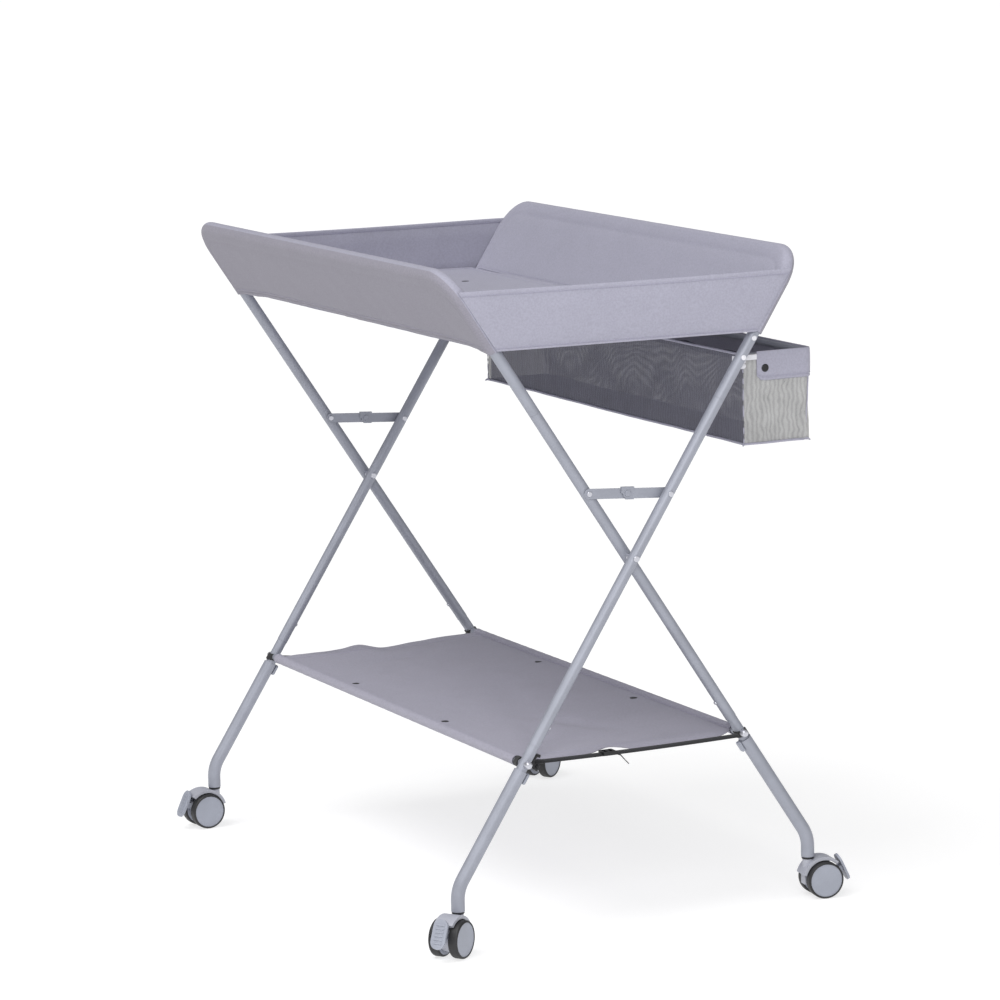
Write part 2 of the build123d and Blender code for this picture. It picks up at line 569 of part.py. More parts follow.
def basket_rim():
    x0, x1 = BASKET_IN + BASKET_SKIN + RIM_END_GAP, BASKET_OUT - RIM_INSET
    y0, y1 = BASKET_NEAR + RIM_INSET, BASKET_FAR - RIM_INSET
    z = BASKET_HIGH - RIM_DROP
    points = [Vector(x0, y0, z), Vector(x1, y0, z), Vector(x1, y1, z), Vector(x0, y1, z)]
    return swept(FilletPolyline(*points, radius=RIM_BEND), RIM_OD)


def basket_studs():
    x, z = BASKET_STUD_X, BASKET_STUD_Z
    return [
        stud(x, BASKET_NEAR - STUD_GAP, z, (0, -1, 0), BASKET_STUD_RADIUS),
        stud(x, BASKET_FAR + STUD_GAP, z, (0, 1, 0), BASKET_STUD_RADIUS),
    ]


def basket_brackets():
    """At each end: a plate screwed to the leg, a post and ear to the basket, an arm and a knob."""
    solids = []
    low = BRACKET_LOW["post"]
    for end in ENDS:
        y = leg_y(B, end)
        inward = 1 if end == "near" else -1
        seat = y + inward * (RAIL_OD / 2 + FIT)
        wall = (BASKET_NEAR if end == "near" else BASKET_FAR) - inward * 2 * FIT
        middle = on_leg(B, sum(SCREW_REACHES) / 2, out=PLATE_OUT)
        face = Plane(origin=(middle.X, seat, middle.Z), x_dir=leg_dir(B), z_dir=(0, inward, 0))
        plate = extrude(face * RectangleRounded(*BRACKET_PLATE, BRACKET_THICK), BRACKET_THICK)
        root = sorted((seat, seat + inward * BRACKET_THICK))
        foot = slab(*BRACKET_FOOT, *root, low, BRACKET_HIGH)
        post = slab(*BRACKET_POST, *sorted((seat, wall)), low, BRACKET_HIGH)
        skin = sorted((wall, wall - inward * BRACKET_THICK))
        ear = slab(*BRACKET_EAR, *skin, BRACKET_LOW["ear"], BRACKET_HIGH)
        arm = slab(*BRACKET_ARM, *skin, low, BRACKET_HIGH)
        solids.append(plate + foot + post + ear + arm)
        knob_face = wall - inward * (BRACKET_THICK + FIT / 2)
        knob = (BRACKET_KNOB[0], knob_face, BRACKET_KNOB[1])
        solids.append(dome(knob, (0, -inward, 0), KNOB_RADIUS, KNOB_HEIGHT))
        for reach in SCREW_REACHES:
            head = on_leg(B, reach, y - inward * (RAIL_OD / 2 + FIT))
            solids.append(dome(head, (0, -inward, 0), SCREW_HEAD, SCREW_HEIGHT))
    return solids


# ---- assembly ----
def caster_parts():
    housing, axle, pin = caster_housing()
    return {
        "caster_housing": [housing, axle, pin],
        "caster_hubs": hubs(),
        "caster_tyres": tyres(),
        "caster_brake": [brake_pedal()],
    }


def foot_x(side):
    return -side * LOWER_BEND_AT * SIN


def caster_place(corner, side, end):
    spot = Location((foot_x(side), leg_y(side, end), -PIVOT_HEIGHT))
    return spot * Location((0, 0, 0), (0, 0, CASTER_YAW[corner]))


keep("scissor_pivots", *scissor_pivots())
CASTER = caster_parts()
for frame, side in FRAMES.items():
    keep(f"{frame}_top_rail", top_rail(side))
    keep(f"{frame}_shelf_rod", shelf_rod(side))
    keep(f"{frame}_fasteners", *frame_fasteners(side))
    keep(f"{frame}_side_cover", side_cover(side))
    half = "left" if side == A else "right"
    keep(f"tray_floor_{half}", tray_floor(side))
    keep(f"tray_studs_{half}", *tray_studs(side))
    shelf = "right" if side == A else "left"
    keep(f"shelf_cloth_{shelf}", shelf_half(side))
    keep(f"shelf_studs_{shelf}", *shelf_studs(side))
    keep(f"shelf_straps_{shelf}", *shelf_straps(side))
    for end in ENDS:
        corner = f"{frame}_{end}"
        keep(f"{corner}_leg", *leg(side, end))
        keep(f"{corner}_lower_leg", *lower_leg(side, end))
        keep(f"{corner}_leg_catch", leg_catch(side, end))
        keep(f"{end}_brace_{half}_link", brace_link(end, side))
        keep(f"{end}_wall_{half}", end_wall(side, end))
        for piece, solids in CASTER.items():
            place = caster_place(corner, side, end)
            keep(f"{corner}_{piece}", *[place * solid for solid in solids])
keep("strap_slider", strap_slider())
keep("basket_bag", basket_bag())
keep("basket_rim", basket_rim())
keep("basket_studs", *basket_studs())
keep("basket_brackets", *basket_brackets())

whole = Compound(list(NODES.values())).bounding_box()
SHIFT = Vector(-(whole.min.X + whole.max.X) / 2, -(whole.min.Y + whole.max.Y) / 2, -whole.min.Z)

os.makedirs("parts", exist_ok=True)
for node, shape in NODES.items():
    export_step(Pos(SHIFT) * shape, f"parts/{node}.step")
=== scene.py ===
import json
import math

import bmesh
import bpy
from mathutils import Matrix, Vector, noise


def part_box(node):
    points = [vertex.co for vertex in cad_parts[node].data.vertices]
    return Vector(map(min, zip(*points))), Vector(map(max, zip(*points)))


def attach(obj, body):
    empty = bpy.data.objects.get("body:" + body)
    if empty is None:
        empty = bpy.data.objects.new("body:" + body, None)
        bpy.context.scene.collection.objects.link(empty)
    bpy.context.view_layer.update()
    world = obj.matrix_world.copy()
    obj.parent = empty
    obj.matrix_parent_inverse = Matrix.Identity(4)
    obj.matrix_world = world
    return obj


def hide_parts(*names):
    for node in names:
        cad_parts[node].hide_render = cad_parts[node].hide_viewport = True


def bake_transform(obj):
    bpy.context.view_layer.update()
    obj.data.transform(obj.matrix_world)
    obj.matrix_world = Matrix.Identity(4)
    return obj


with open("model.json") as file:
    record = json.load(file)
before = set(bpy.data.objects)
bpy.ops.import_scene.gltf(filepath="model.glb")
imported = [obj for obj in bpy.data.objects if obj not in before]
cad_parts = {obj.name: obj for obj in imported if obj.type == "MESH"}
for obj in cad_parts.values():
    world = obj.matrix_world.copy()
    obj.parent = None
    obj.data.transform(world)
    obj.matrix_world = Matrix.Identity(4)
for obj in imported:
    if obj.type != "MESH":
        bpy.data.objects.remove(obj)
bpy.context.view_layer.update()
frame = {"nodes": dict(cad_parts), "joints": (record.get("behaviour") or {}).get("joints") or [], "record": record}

MM = 0.001
TAU = 2 * math.pi

# ---- places read from the frame; all shapes below are in millimetres round the pivot point ----
JOINTS = {j["name"]: j for j in frame["joints"]}
PIVOT = (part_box("scissor_pivots")[0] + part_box("scissor_pivots")[1]) / 2


def local(point):
    """A point of the part, in millimetres from the scissor pivots."""
    return (Vector(point) - PIVOT) / MM


HEM = local(JOINTS["tray_right_fold"]["pos_m"])
ROD = local(JOINTS["shelf_right_fold"]["pos_m"])
LEG_ANGLE = math.atan2(HEM.x, HEM.z)
SIN, COS = math.sin(LEG_ANGLE), math.cos(LEG_ANGLE)
HEM_REACH = Vector((HEM.x, 0, HEM.z)).length
ROD_REACH = Vector((ROD.x, 0, ROD.z)).length
A, B = -1, 1  # the side that each frame's top leans to
FRAMES = {"frame_a": A, "frame_b": B}
ENDS = {"near": -400.0, "far": 400.0}
LEG_OFFSET = 10.0
RAIL_REACH, RAIL_BEND = 435.0, 40.0
SLEEVE_R, HEM_HALF = 9.3, 1.6
TRAY_Z = local(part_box("tray_floor_left")[1]).z
WALL_LOW = local(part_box("near_wall_left")[0]).z
WALL_HIGH = local(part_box("near_wall_left")[1]).z
BAG_LOW, BAG_HIGH = (local(corner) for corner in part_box("basket_bag"))
WALL_EDGE_X = (WALL_LOW + WALL_HIGH) / 2 * SIN / COS
HALVES = {A: "left", B: "right"}
WALL_HINGE = {(end, side): local(JOINTS[f"{end}_wall_{half}_fold"]["pos_m"]).y
              for side, half in HALVES.items() for end in ENDS}


def on_leg(side, s, y=0.0, out=0.0):
    """Point on a leg: s along it from the pivot (up is +), out square to it, away from the middle."""
    return Vector((side * (s * SIN + out * COS), y, s * COS - out * SIN))


def leg_y(side, end):
    return ENDS[end] - side * LEG_OFFSET


def wall_mid(end, x):
    """Middle of an end wall's thickness: it runs at a slant from one sleeve's front to the other's."""
    t = (x + WALL_EDGE_X) / (2 * WALL_EDGE_X)
    return WALL_HINGE[end, A] * (1 - t) + WALL_HINGE[end, B] * t


# ---- mesh building ----
def shade(obj, smooth_angle=42):
    obj.data.shade_smooth()
    obj.data.set_sharp_from_angle(angle=math.radians(smooth_angle))


def piece(name, verts, faces, material, uvs=None, merge=0.0):
    """Mesh object from points in millimetres round the pivots; uvs hold one pair for each face corner."""
    mesh = bpy.data.meshes.new(name)
    mesh.from_pydata([PIVOT + Vector(v) * MM for v in verts], [], faces)
    if uvs is not None:
        layer = mesh.uv_layers.new(name="UVMap")
        layer.data.foreach_set("uv", [c for pair in uvs for c in pair])
    bm = bmesh.new()
    bm.from_mesh(mesh)
    if merge:
        bmesh.ops.remove_doubles(bm, verts=bm.verts, dist=merge * MM)
        bmesh.ops.dissolve_degenerate(bm, edges=bm.edges, dist=1e-7)
    bmesh.ops.recalc_face_normals(bm, faces=bm.faces)
    bm.to_mesh(mesh)
    bm.free()
    obj = bpy.data.objects.new(name, mesh)
    bpy.context.scene.collection.objects.link(obj)
    for mat in material if isinstance(material, (list, tuple)) else [material]:
        mesh.materials.append(mat)
    shade(obj)
    return obj


def loft(name, sections, material, uv=None, caps=True, ring=False, merge=0.0):
    """Closed tube of equal loops of points; ring joins the last loop to the first."""
    rows, count = len(sections), len(sections[0])
    verts = [p for loop in sections for p in loop]
    faces, uvs = [], []
    lengths = [0.0]
    for a, b in zip(sections, sections[1:]):
        lengths.append(lengths[-1] + (Vector(b[0]) - Vector(a[0])).length)
    girth = [0.0]
    for j in range(count):
        step = Vector(sections[0][j]) - Vector(sections[0][(j + 1) % count])
        girth.append(girth[-1] + step.length)
    if uv is None:
        uv = lambda i, j: (lengths[min(i, rows - 1)] * MM, girth[j] * MM)
    for i in range(rows if ring else rows - 1):
        n = (i + 1) % rows
        for j in range(count):
            k = (j + 1) % count
            faces.append((i * count + j, i * count + k, n * count + k, n * count + j))
            uvs += [uv(i, j), uv(i, j + 1), uv(i + 1, j + 1), uv(i + 1, j)]
    if caps and not ring:
        for i in (0, rows - 1):
            faces.append(tuple(i * count + j for j in range(count)))
            uvs += [uv(i, j) for j in range(count)]
    return piece(name, verts, faces, material, uvs, merge)


def frames_along(points, up=Vector((0, 0, 1))):
    """Tangent, side and normal at each point of a polyline."""
    out = []
    for i, p in enumerate(points):
        t = (points[min(i + 1, len(points) - 1)] - points[max(i - 1, 0)]).normalized()
        side = t.cross(up)
        if side.length < 1e-4:
            side = t.cross(Vector((1, 0, 0)))
        side.normalize()
        out.append((t, side, side.cross(t).normalized()))
    return out


def pipe(name, points, radius, material, sides=16):
    """Round tube along points; radius is a number or a function of the share of the way along."""
    sections = []
    for i, (p, (t, side, normal)) in enumerate(zip(points, frames_along(points))):
        r = radius(i / (len(points) - 1)) if callable(radius) else radius
        loop = [p + (side * math.cos(a) + normal * math.sin(a)) * r
                for a in (TAU * k / sides for k in range(sides))]
        sections.append(loop)
    return loft(name, sections, material)


RIBBON_FACE = 0.84  # full thickness over this share of the width, thinner to the edges


def ribbon(name, points, flats, width, thick, material):
    """Flat webbing along points; flats gives the direction of its width at each point."""
    sections = []
    for p, flat, (t, _, _) in zip(points, flats, frames_along(points)):
        w = flat.normalized() * width / 2
        n = t.cross(flat).normalized() * thick / 2
        face = w * RIBBON_FACE
        sections.append([p + face + n, p + w, p + face - n, p - face - n, p - w, p - face + n])
    return loft(name, sections, material)


def lerp(a, b, t):
    return a + (b - a) * t


def bumps(x, y, size, seed=0.0):
    """Smooth noise between about -1 and 1; size is the width of a bump in millimetres."""
    return noise.noise(Vector((x / size, y / size, seed)))


def stitches(name, points, normals, material, pitch=3.6, length=2.4, radius=0.35):
    """Thread dashes along a line, each a small lozenge lying on the cloth, as one mesh."""
    verts, faces = [], []
    walk, target = 0.0, 0.0
    for a, b, n in zip(points, points[1:], normals):
        run = b - a
        size = run.length
        if size < 1e-6:
            continue
        direction = run / size
        while target <= walk + size:
            mid = a + direction * (target - walk) + n * radius * 0.5
            side = direction.cross(n).normalized() * radius
            top = n * radius
            ends = direction * length / 2
            base = len(verts)
            verts += [mid - ends, mid - ends * 0.6 + side, mid - ends * 0.6 + top, mid - ends * 0.6 - side,
                      mid + ends * 0.6 + side, mid + ends * 0.6 + top, mid + ends * 0.6 - side, mid + ends,
                      mid - ends * 0.6 - top, mid + ends * 0.6 - top]
            order = [(1, 2, 5, 4), (2, 3, 6, 5), (3, 8, 9, 6), (8, 1, 4, 9)]
            tips = [(0, 2, 1), (0, 3, 2), (0, 8, 3), (0, 1, 8), (7, 4, 5), (7, 5, 6), (7, 6, 9), (7, 9, 4)]
            faces += [tuple(base + k for k in f) for f in order + tips]
            target += pitch
        walk += size
    return piece(name, verts, faces, material)


def join(parts):
    """Several objects as one; the first keeps its name."""
    first = parts[0]
    with bpy.context.temp_override(active_object=first, object=first, selected_objects=parts,
                                   selected_editable_objects=parts):
        bpy.ops.object.join()
    return first


# ---- materials ----
def srgb(r, g, b):
    """Linear colour from 0-255 display values."""
    def channel(v):
        v /= 255
        return v / 12.92 if v <= 0.04045 else ((v + 0.055) / 1.055) ** 2.4
    return (channel(r), channel(g), channel(b), 1.0)


class Nodes:
    """Short names for building one material's nodes."""

    def __init__(self, name):
        self.mat = bpy.data.materials.new(name)
        self.mat.use_nodes = True
        self.tree = self.mat.node_tree
        self.shader = self.tree.nodes["Principled BSDF"]

    def new(self, kind, **values):
        node = self.tree.nodes.new(kind)
        for key, value in values.items():
            if key in node.inputs:
                node.inputs[key].default_value = value
            else:
                setattr(node, key, value)
        return node

    def link(self, a, b):
        self.tree.links.new(a, b)

    def set(self, **values):
        for key, value in values.items():
            self.shader.inputs[key.replace("_", " ")].default_value = value

    def coords(self, uv=False):
        node = self.new("ShaderNodeTexCoord")
        return node.outputs["UV" if uv else "Object"]

    def noise(self, vector, scale, detail=3.0, rough=0.55):
        node = self.new("ShaderNodeTexNoise", Scale=scale, Detail=detail, Roughness=rough)
        self.link(vector, node.inputs["Vector"])
        return node.outputs["Fac"]

    def wave(self, vector, pitch_m, direction, distortion=0.0):
        node = self.new("ShaderNodeTexWave", Scale=TAU / 20 / pitch_m, Distortion=distortion)
        node.bands_direction = direction
        self.link(vector, node.inputs["Vector"])
        return node.outputs["Fac"]

    def math(self, operation, a, b):
        node = self.new("ShaderNodeMath", operation=operation)
        for socket, value in zip(node.inputs, (a, b)):
            if isinstance(value, (int, float)):
                socket.default_value = value
            else:
                self.link(value, socket)
        return node.outputs[0]

    def blend(self, factor, low, high, span=(0.0, 1.0)):
        """Colour ramp from low to high as factor crosses span."""
        ramp = self.new("ShaderNodeValToRGB")
        ramp.color_ramp.elements[0].position, ramp.color_ramp.elements[1].position = span
        ramp.color_ramp.elements[0].color, ramp.color_ramp.elements[1].color = low, high
        self.link(factor, ramp.inputs["Fac"])
        return ramp.outputs["Color"]

    def multiply(self, a, b, factor=1.0):
        node = self.new("ShaderNodeMix", data_type="RGBA", blend_type="MULTIPLY")
        node.inputs["Factor"].default_value = factor
        self.link(a, node.inputs[6])
        self.link(b, node.inputs[7])
        return node.outputs[2]

    def bump(self, height, strength, distance, below=None):
        node = self.new("ShaderNodeBump", Strength=strength, Distance=distance)
        self.link(height, node.inputs["Height"])
        if below is not None:
            self.link(below, node.inputs["Normal"])
        return node.outputs["Normal"]

    def rough(self, factor, low, high):
        node = self.new("ShaderNodeMapRange")
        node.inputs["To Min"].default_value = low
        node.inputs["To Max"].default_value = high
        self.link(factor, node.inputs["Value"])
        self.link(node.outputs["Result"], self.shader.inputs["Roughness"])


def scaled(colour, k):
    return (colour[0] * k, colour[1] * k, colour[2] * k, 1.0)


def cloth_material(name, colour, thread=0.0009, mottle=0.02, sheen=0.12):
    """Coated plain-weave polyester: fine crossing threads, faint mottling, a little sheen."""
    n = Nodes(name)
    uv, where = n.coords(uv=True), n.coords()
    warp = n.wave(uv, thread, "X", 0.6)
    weft = n.wave(uv, thread, "Y", 0.6)
    weave = n.math("MULTIPLY", warp, weft)
    soft = n.noise(where, 26.0, 4.0)
    fine = n.noise(where, 900.0, 2.0)
    tone = n.blend(soft, scaled(colour, 1 - mottle), scaled(colour, 1 + mottle), (0.3, 0.7))
    threads = n.blend(weave, (0.93, 0.93, 0.93, 1), (1.0, 1.0, 1.0, 1), (0.0, 0.6))
    slubs = n.blend(n.noise(where, 420.0, 3.0), (0.88, 0.88, 0.88, 1), (1.0, 1.0, 1.0, 1), (0.35, 0.65))
    n.link(n.multiply(n.multiply(tone, slubs), threads), n.shader.inputs["Base Color"])
    n.rough(fine, 0.66, 0.82)
    creases = n.bump(n.noise(where, 60.0, 3.0), 0.1, 0.0006)
    n.link(n.bump(weave, 0.35, 0.00025, creases), n.shader.inputs["Normal"])
    n.set(Sheen_Weight=sheen, Sheen_Roughness=0.5, Specular_IOR_Level=0.35)
    return n.mat


def mesh_material(name, colour, open_share=0.42, pitch=0.0014):
    """Knitted mesh: threads with holes between them, seen through."""
    n = Nodes(name)
    uv, where = n.coords(uv=True), n.coords()
    across = n.wave(uv, pitch, "X", 0.8)
    along = n.wave(uv, pitch, "Y", 0.8)
    thread = n.math("MAXIMUM", across, along)
    drift = n.noise(where, 40.0, 3.0)
    tone = n.blend(drift, scaled(colour, 0.9), scaled(colour, 1.08), (0.3, 0.7))
    # Darker wavy stripes across the mesh: painted shade of its fine crinkles.
    crinkle_shade = n.blend(n.wave(uv, 0.0065, "X", 7.0), (0.8, 0.8, 0.8, 1), (1.0, 1.0, 1.0, 1), (0.1, 0.8))
    n.link(n.multiply(tone, crinkle_shade), n.shader.inputs["Base Color"])
    cover = n.new("ShaderNodeMapRange")
    cover.inputs["From Min"].default_value = 0.45
    cover.inputs["From Max"].default_value = 0.85
    cover.inputs["To Min"].default_value = 1 - open_share
    cover.inputs["To Max"].default_value = 1.0
    n.link(thread, cover.inputs["Value"])
    n.link(cover.outputs["Result"], n.shader.inputs["Alpha"])
    n.link(n.bump(thread, 0.4, 0.0004), n.shader.inputs["Normal"])
    n.rough(drift, 0.6, 0.8)
    n.set(Sheen_Weight=0.1, Specular_IOR_Level=0.3)
    return n.mat


def coat_material(name, colour, metallic=0.25, low=0.34, high=0.5, grain=1400.0, depth=0.00006, wear=0.05):
    """Powder coat or moulded plastic: fine pebble, uneven gloss, faint dirt."""
    n = Nodes(name)
    where = n.coords()
    pebble = n.noise(where, grain, 2.0)
    patch = n.noise(where, 35.0, 5.0)
    tone = n.blend(patch, scaled(colour, 1 - wear), scaled(colour, 1 + wear), (0.35, 0.65))
    speck = n.blend(pebble, (0.95, 0.95, 0.95, 1), (1, 1, 1, 1), (0.35, 0.6))
    n.link(n.multiply(tone, speck), n.shader.inputs["Base Color"])
    n.rough(patch, low, high)
    n.link(n.bump(pebble, 0.4, depth), n.shader.inputs["Normal"])
    n.set(Metallic=metallic)
    return n.mat


def webbing_material(name, colour):
    """Ribbed woven tape."""
    n = Nodes(name)
    uv, where = n.coords(uv=True), n.coords()
    rib = n.wave(uv, 0.0012, "X", 1.0)
    fine = n.noise(where, 700.0, 2.0)
    tone = n.blend(rib, scaled(colour, 0.7), scaled(colour, 1.5), (0.2, 0.9))
    n.link(tone, n.shader.inputs["Base Color"])
    n.rough(fine, 0.6, 0.85)
    n.link(n.bump(rib, 0.5, 0.0003), n.shader.inputs["Normal"])
    n.set(Sheen_Weight=0.15)
    return n.mat


CLOTH = cloth_material("cloth_lavender", srgb(170, 169, 185))
# Darker copy of the lavender cloth: painted shade for the side covers' outward faces.
CLOTH_PAINTED_SHADE = cloth_material("cloth_lavender_painted_shade", srgb(152, 149, 161))
CLOTH_SHELF = cloth_material("cloth_shelf", srgb(168, 166, 180))
THREAD = coat_material("sewing_thread", srgb(168, 166, 186), metallic=0.0, low=0.6, high=0.8)
MESH = mesh_material("basket_mesh", srgb(190, 190, 190), open_share=0.55)
# Darker copy of the mesh: painted shade for the basket's long sides.
MESH_PAINTED_SHADE = mesh_material("basket_mesh_painted_shade", srgb(104, 104, 117), open_share=0.4)
BASE_PANEL = cloth_material("basket_base", srgb(116, 116, 126))
# Near-black: painted shade for the hollow inside each shelf sleeve's mouth.
SLEEVE_MOUTH_SHADE = coat_material("sleeve_mouth_painted_shade", srgb(60, 60, 68), metallic=0.0, low=0.7, high=0.9)
PAINT = coat_material("tube_powder_coat", srgb(158, 161, 172), metallic=0.3, low=0.42, high=0.56)
RIVET = coat_material("plated_rivet", srgb(205, 206, 214), metallic=0.75, low=0.22, high=0.38, wear=0.03)
GREY_PLASTIC = coat_material("caster_grey_plastic", srgb(158, 162, 174), metallic=0.0, grain=900.0)
HOUSING = coat_material("caster_housing_plastic", srgb(176, 178, 188), metallic=0.0, low=0.3, high=0.45)
TYRE = coat_material("caster_tyre", srgb(38, 38, 40), metallic=0.0, low=0.45, high=0.65,
                     grain=500.0, wear=0.25)
BLACK = coat_material("black_moulded_plastic", srgb(24, 24, 27), metallic=0.0, low=0.3, high=0.5, wear=0.2)
WHITE_PLASTIC = coat_material("bracket_plastic", srgb(226, 226, 232), metallic=0.0, low=0.25,
                              high=0.4, wear=0.03)
WEBBING = webbing_material("black_webbing", srgb(30, 30, 33))

SLOT_MATERIALS = {
    "tube_paint": PAINT, "rivet_steel": RIVET, "cloth": CLOTH, "mesh": MESH, "webbing": WEBBING,
    "black_plastic": BLACK, "bracket_plastic": WHITE_PLASTIC, "caster_grey": GREY_PLASTIC, "tyre": TYRE,
}


def dress_cad_nodes():
    """Every CAD node takes its slot's material; housings and catches have a tint of their own."""
    for row in frame["record"]["subparts"]:
        node = frame["nodes"][row["node"]]
        material = SLOT_MATERIALS[row["material_slot"]]
        if "caster_housing" in row["node"]:
            material = HOUSING
        if "leg_catch" in row["node"]:
            material = GREY_PLASTIC
        node.data.materials.clear()
        node.data.materials.append(material)


# ---- side covers ----
BEND_STEPS = 12


def rail_path(side, step=9.0):
    """Stations along the top rail from the near hem to the far hem: (y, s, direction towards the web)."""
    y0, y1 = leg_y(side, "near"), leg_y(side, "far")
    straight = RAIL_REACH - RAIL_BEND - HEM_REACH
    out = []

    def corner(y, start):
        for i in range(BEND_STEPS):
            a = start - math.pi / 2 * i / BEND_STEPS
            out.append((y + RAIL_BEND * math.cos(a), RAIL_REACH - RAIL_BEND + RAIL_BEND * math.sin(a),
                        Vector((-math.cos(a), -math.sin(a)))))

    count = max(2, round(straight / step))
    for i in range(count):
        out.append((y0, HEM_REACH + straight * i / count, Vector((1, 0))))
    corner(y0 + RAIL_BEND, math.pi)
    middle = round((y1 - y0 - 2 * RAIL_BEND) / step)
    for i in range(middle):
        out.append((lerp(y0 + RAIL_BEND, y1 - RAIL_BEND, i / middle), RAIL_REACH, Vector((0, -1))))
    corner(y1 - RAIL_BEND, math.pi / 2)
    for i in range(count + 1):
        out.append((y1, RAIL_REACH - RAIL_BEND - straight * i / count, Vector((-1, 0))))
    return out


HEM_ROWS = ((0.0, -0.8), (2.2, -0.5), (4.6, -0.5), (5.5, -1.1), (6.6, 0.0), (10.0, 0.0))  # up from the hem
RIM_ROWS = ((17.0, 0.0), (14.6, -0.5), (12.4, 0.1), (6.0, 0.1))  # down from the tube's centre
SHORT_RUN = 44.0


def cover_half(side, y, s):
    """Half thickness of a cover: the tube's beside its sleeve, thin along the middle of the hem."""
    aside = min(y - leg_y(side, "near"), leg_y(side, "far") - y)
    rise = min(1.0, max(0.0, (s - HEM_REACH) / (RAIL_REACH - HEM_REACH)))
    beside = max(0.0, 1 - max(0.0, aside) / 120) ** 2
    return lerp(HEM_HALF, SLEEVE_R, 1 - (1 - rise) * (1 - beside))


def cover_surface(side, y, s, relief, sign):
    """Point on a cover's face, with the cloth's own unevenness; its loose lower edge wanders."""
    y0, y1 = leg_y(side, "near"), leg_y(side, "far")
    aside = min(y - y0, y1 - y)
    inside = min(1.0, max(0.0, aside / 60)) * min(1.0, max(0.0, (RAIL_REACH - 12 - s) / 30))
    swell = inside * (0.8 * bumps(y, s * 0.5, 110, 1.0 + side) + 0.3 * bumps(y, s, 31, 5.0 + side))
    loose = max(0.0, 1 - (s - HEM_REACH) / 5.5) * min(1.0, max(0.0, aside / 30))
    drop = loose * (2.2 * bumps(y, 40, 70, 11.0 + side) + 0.9 * bumps(y, 10, 24, 13.0 + side))
    swing = loose * (1.4 * bumps(y, 0, 62, 3.0 + side) + 0.6 * bumps(y, 0, 20, 7.0 + side))
    return on_leg(side, s + drop, y, out=sign * (cover_half(side, y, s) + relief) + swell + swing)


def side_cover(frame_name, side):
    """Double cloth panel drawn flat over the top rail, closed along a creased hem with a loose edge below."""
    stations = rail_path(side)
    y0, y1 = leg_y(side, "near"), leg_y(side, "far")
    total = len(stations) - 1
    corner = next(i for i, st in enumerate(stations) if st[1] >= RAIL_REACH)
    sections, hem_front, hem_back = [], [], []
    for i, (y, s, inward) in enumerate(stations):
        share = min(i, total - i) / corner
        if share < 1:
            reach = 62.0 * share ** 1.4
            hem_y = y0 + reach if i < total / 2 else y1 - reach
        else:
            flat0, flat1 = stations[corner][0], stations[total - corner][0]
            hem_y = lerp(y0 + 62.0, y1 - 62.0, (y - flat0) / (flat1 - flat0))
        top, hem = Vector((y, s)), Vector((hem_y, HEM_REACH))
        run = (top - hem).length
        scale = min(1.0, run / SHORT_RUN)
        lower = [(d * scale, r * scale) for d, r in HEM_ROWS]
        upper = [(run - d * scale, r * scale) for d, r in RIM_ROWS]
        body = [(lerp(lower[-1][0], upper[0][0], t), 0.0) for t in (0.17, 0.33, 0.5, 0.67, 0.83)]
        levels = lower + body + upper
        side_points = {1: [], -1: []}
        for sign in (1, -1):
            for d, r in levels:
                p = hem.lerp(top, max(0.0, min(1.0, d / run))) if run > 1e-6 else hem
                side_points[sign].append(cover_surface(side, p.x, p.y, r, sign))
        fill = 1 + 0.015 * bumps(i * 9, 0, 30, 2.0 + side)
        arc = []
        for k in range(13):
            a = math.pi / 2 + math.pi * k / 12
            flat = top + inward * (SLEEVE_R * fill * math.cos(a))
            arc.append(on_leg(side, flat.y, flat.x, out=SLEEVE_R * fill * math.sin(a)))
        sections.append(side_points[1] + arc + list(reversed(side_points[-1])))
        hem_front.append(side_points[1][5])
        hem_back.append(side_points[-1][5])
    cover = loft(f"{frame_name}_cover_cloth", sections, [CLOTH, CLOTH_PAINTED_SHADE], merge=0.02)
    out = on_leg(side, 0, 0, 1.0)
    # Faces turned outwards take the darker copy of the cloth, painted shade.
    for polygon in cover.data.polygons:
        polygon.material_index = 1 if polygon.normal.dot(out) > 0.2 else 0
    threads = [stitches(f"{frame_name}_thread", line[4:-4], [out * sign] * len(line[4:-4]), THREAD)
               for line, sign in ((hem_front, 1), (hem_back, -1))]
    thread = join(threads)
    thread.name = f"{frame_name}_cover_stitching"
    for item in (cover, thread):
        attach(item, frame_name)
    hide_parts(f"{frame_name}_side_cover")


# ---- end walls ----
WALL_PROFILE = (  # height above the bottom edge (or below the top, negative), half thickness
    (0.0, 0.3), (0.4, 1.3), (1.4, 1.5), (2.4, 1.2), (3.0, 0.6), (3.8, 1.1),
    (0.25, 1.2), (0.5, 1.2), (0.75, 1.2),  # shares of the plain middle
    (-7.4, 1.2), (-6.4, 0.6), (-5.4, 1.3), (-3.4, 1.5), (-1.0, 1.3), (-0.3, 0.8), (0.0, 0.2),
)


def wall_levels():
    """Profile as heights between the wall's edges."""
    span = WALL_HIGH - WALL_LOW
    out = []
    for i, (h, half) in enumerate(WALL_PROFILE):
        if i == len(WALL_PROFILE) - 1:
            z = span
        elif h < 0:
            z = span + h
        elif 5 < i < 9:
            z = lerp(5.0, span - 9.0, h)
        else:
            z = h
        out.append((z, half))
    return out


def wall_point(end, x, z, half, sign):
    """Point on an end wall's face: it bellies out a little and ripples along its edges."""
    middle = math.cos(min(1.0, abs(x) / 190) * math.pi / 2)
    height = (z - WALL_LOW) / (WALL_HIGH - WALL_LOW)
    belly = 1.2 * middle * math.sin(math.pi * height)
    ripple = 0.5 * bumps(x, z, 60, 20 + ENDS[end] * 0.01) + 0.25 * bumps(x, z, 22, 30)
    droop = -1.0 * middle * height
    out = -1 if end == "near" else 1
    edge = z * SIN / COS
    tuck = out * 1.5 * max(0.0, (abs(x) / edge - 0.94) / 0.06)
    return Vector((x, wall_mid(end, x) + out * belly - tuck + sign * half + ripple * middle, z + droop))


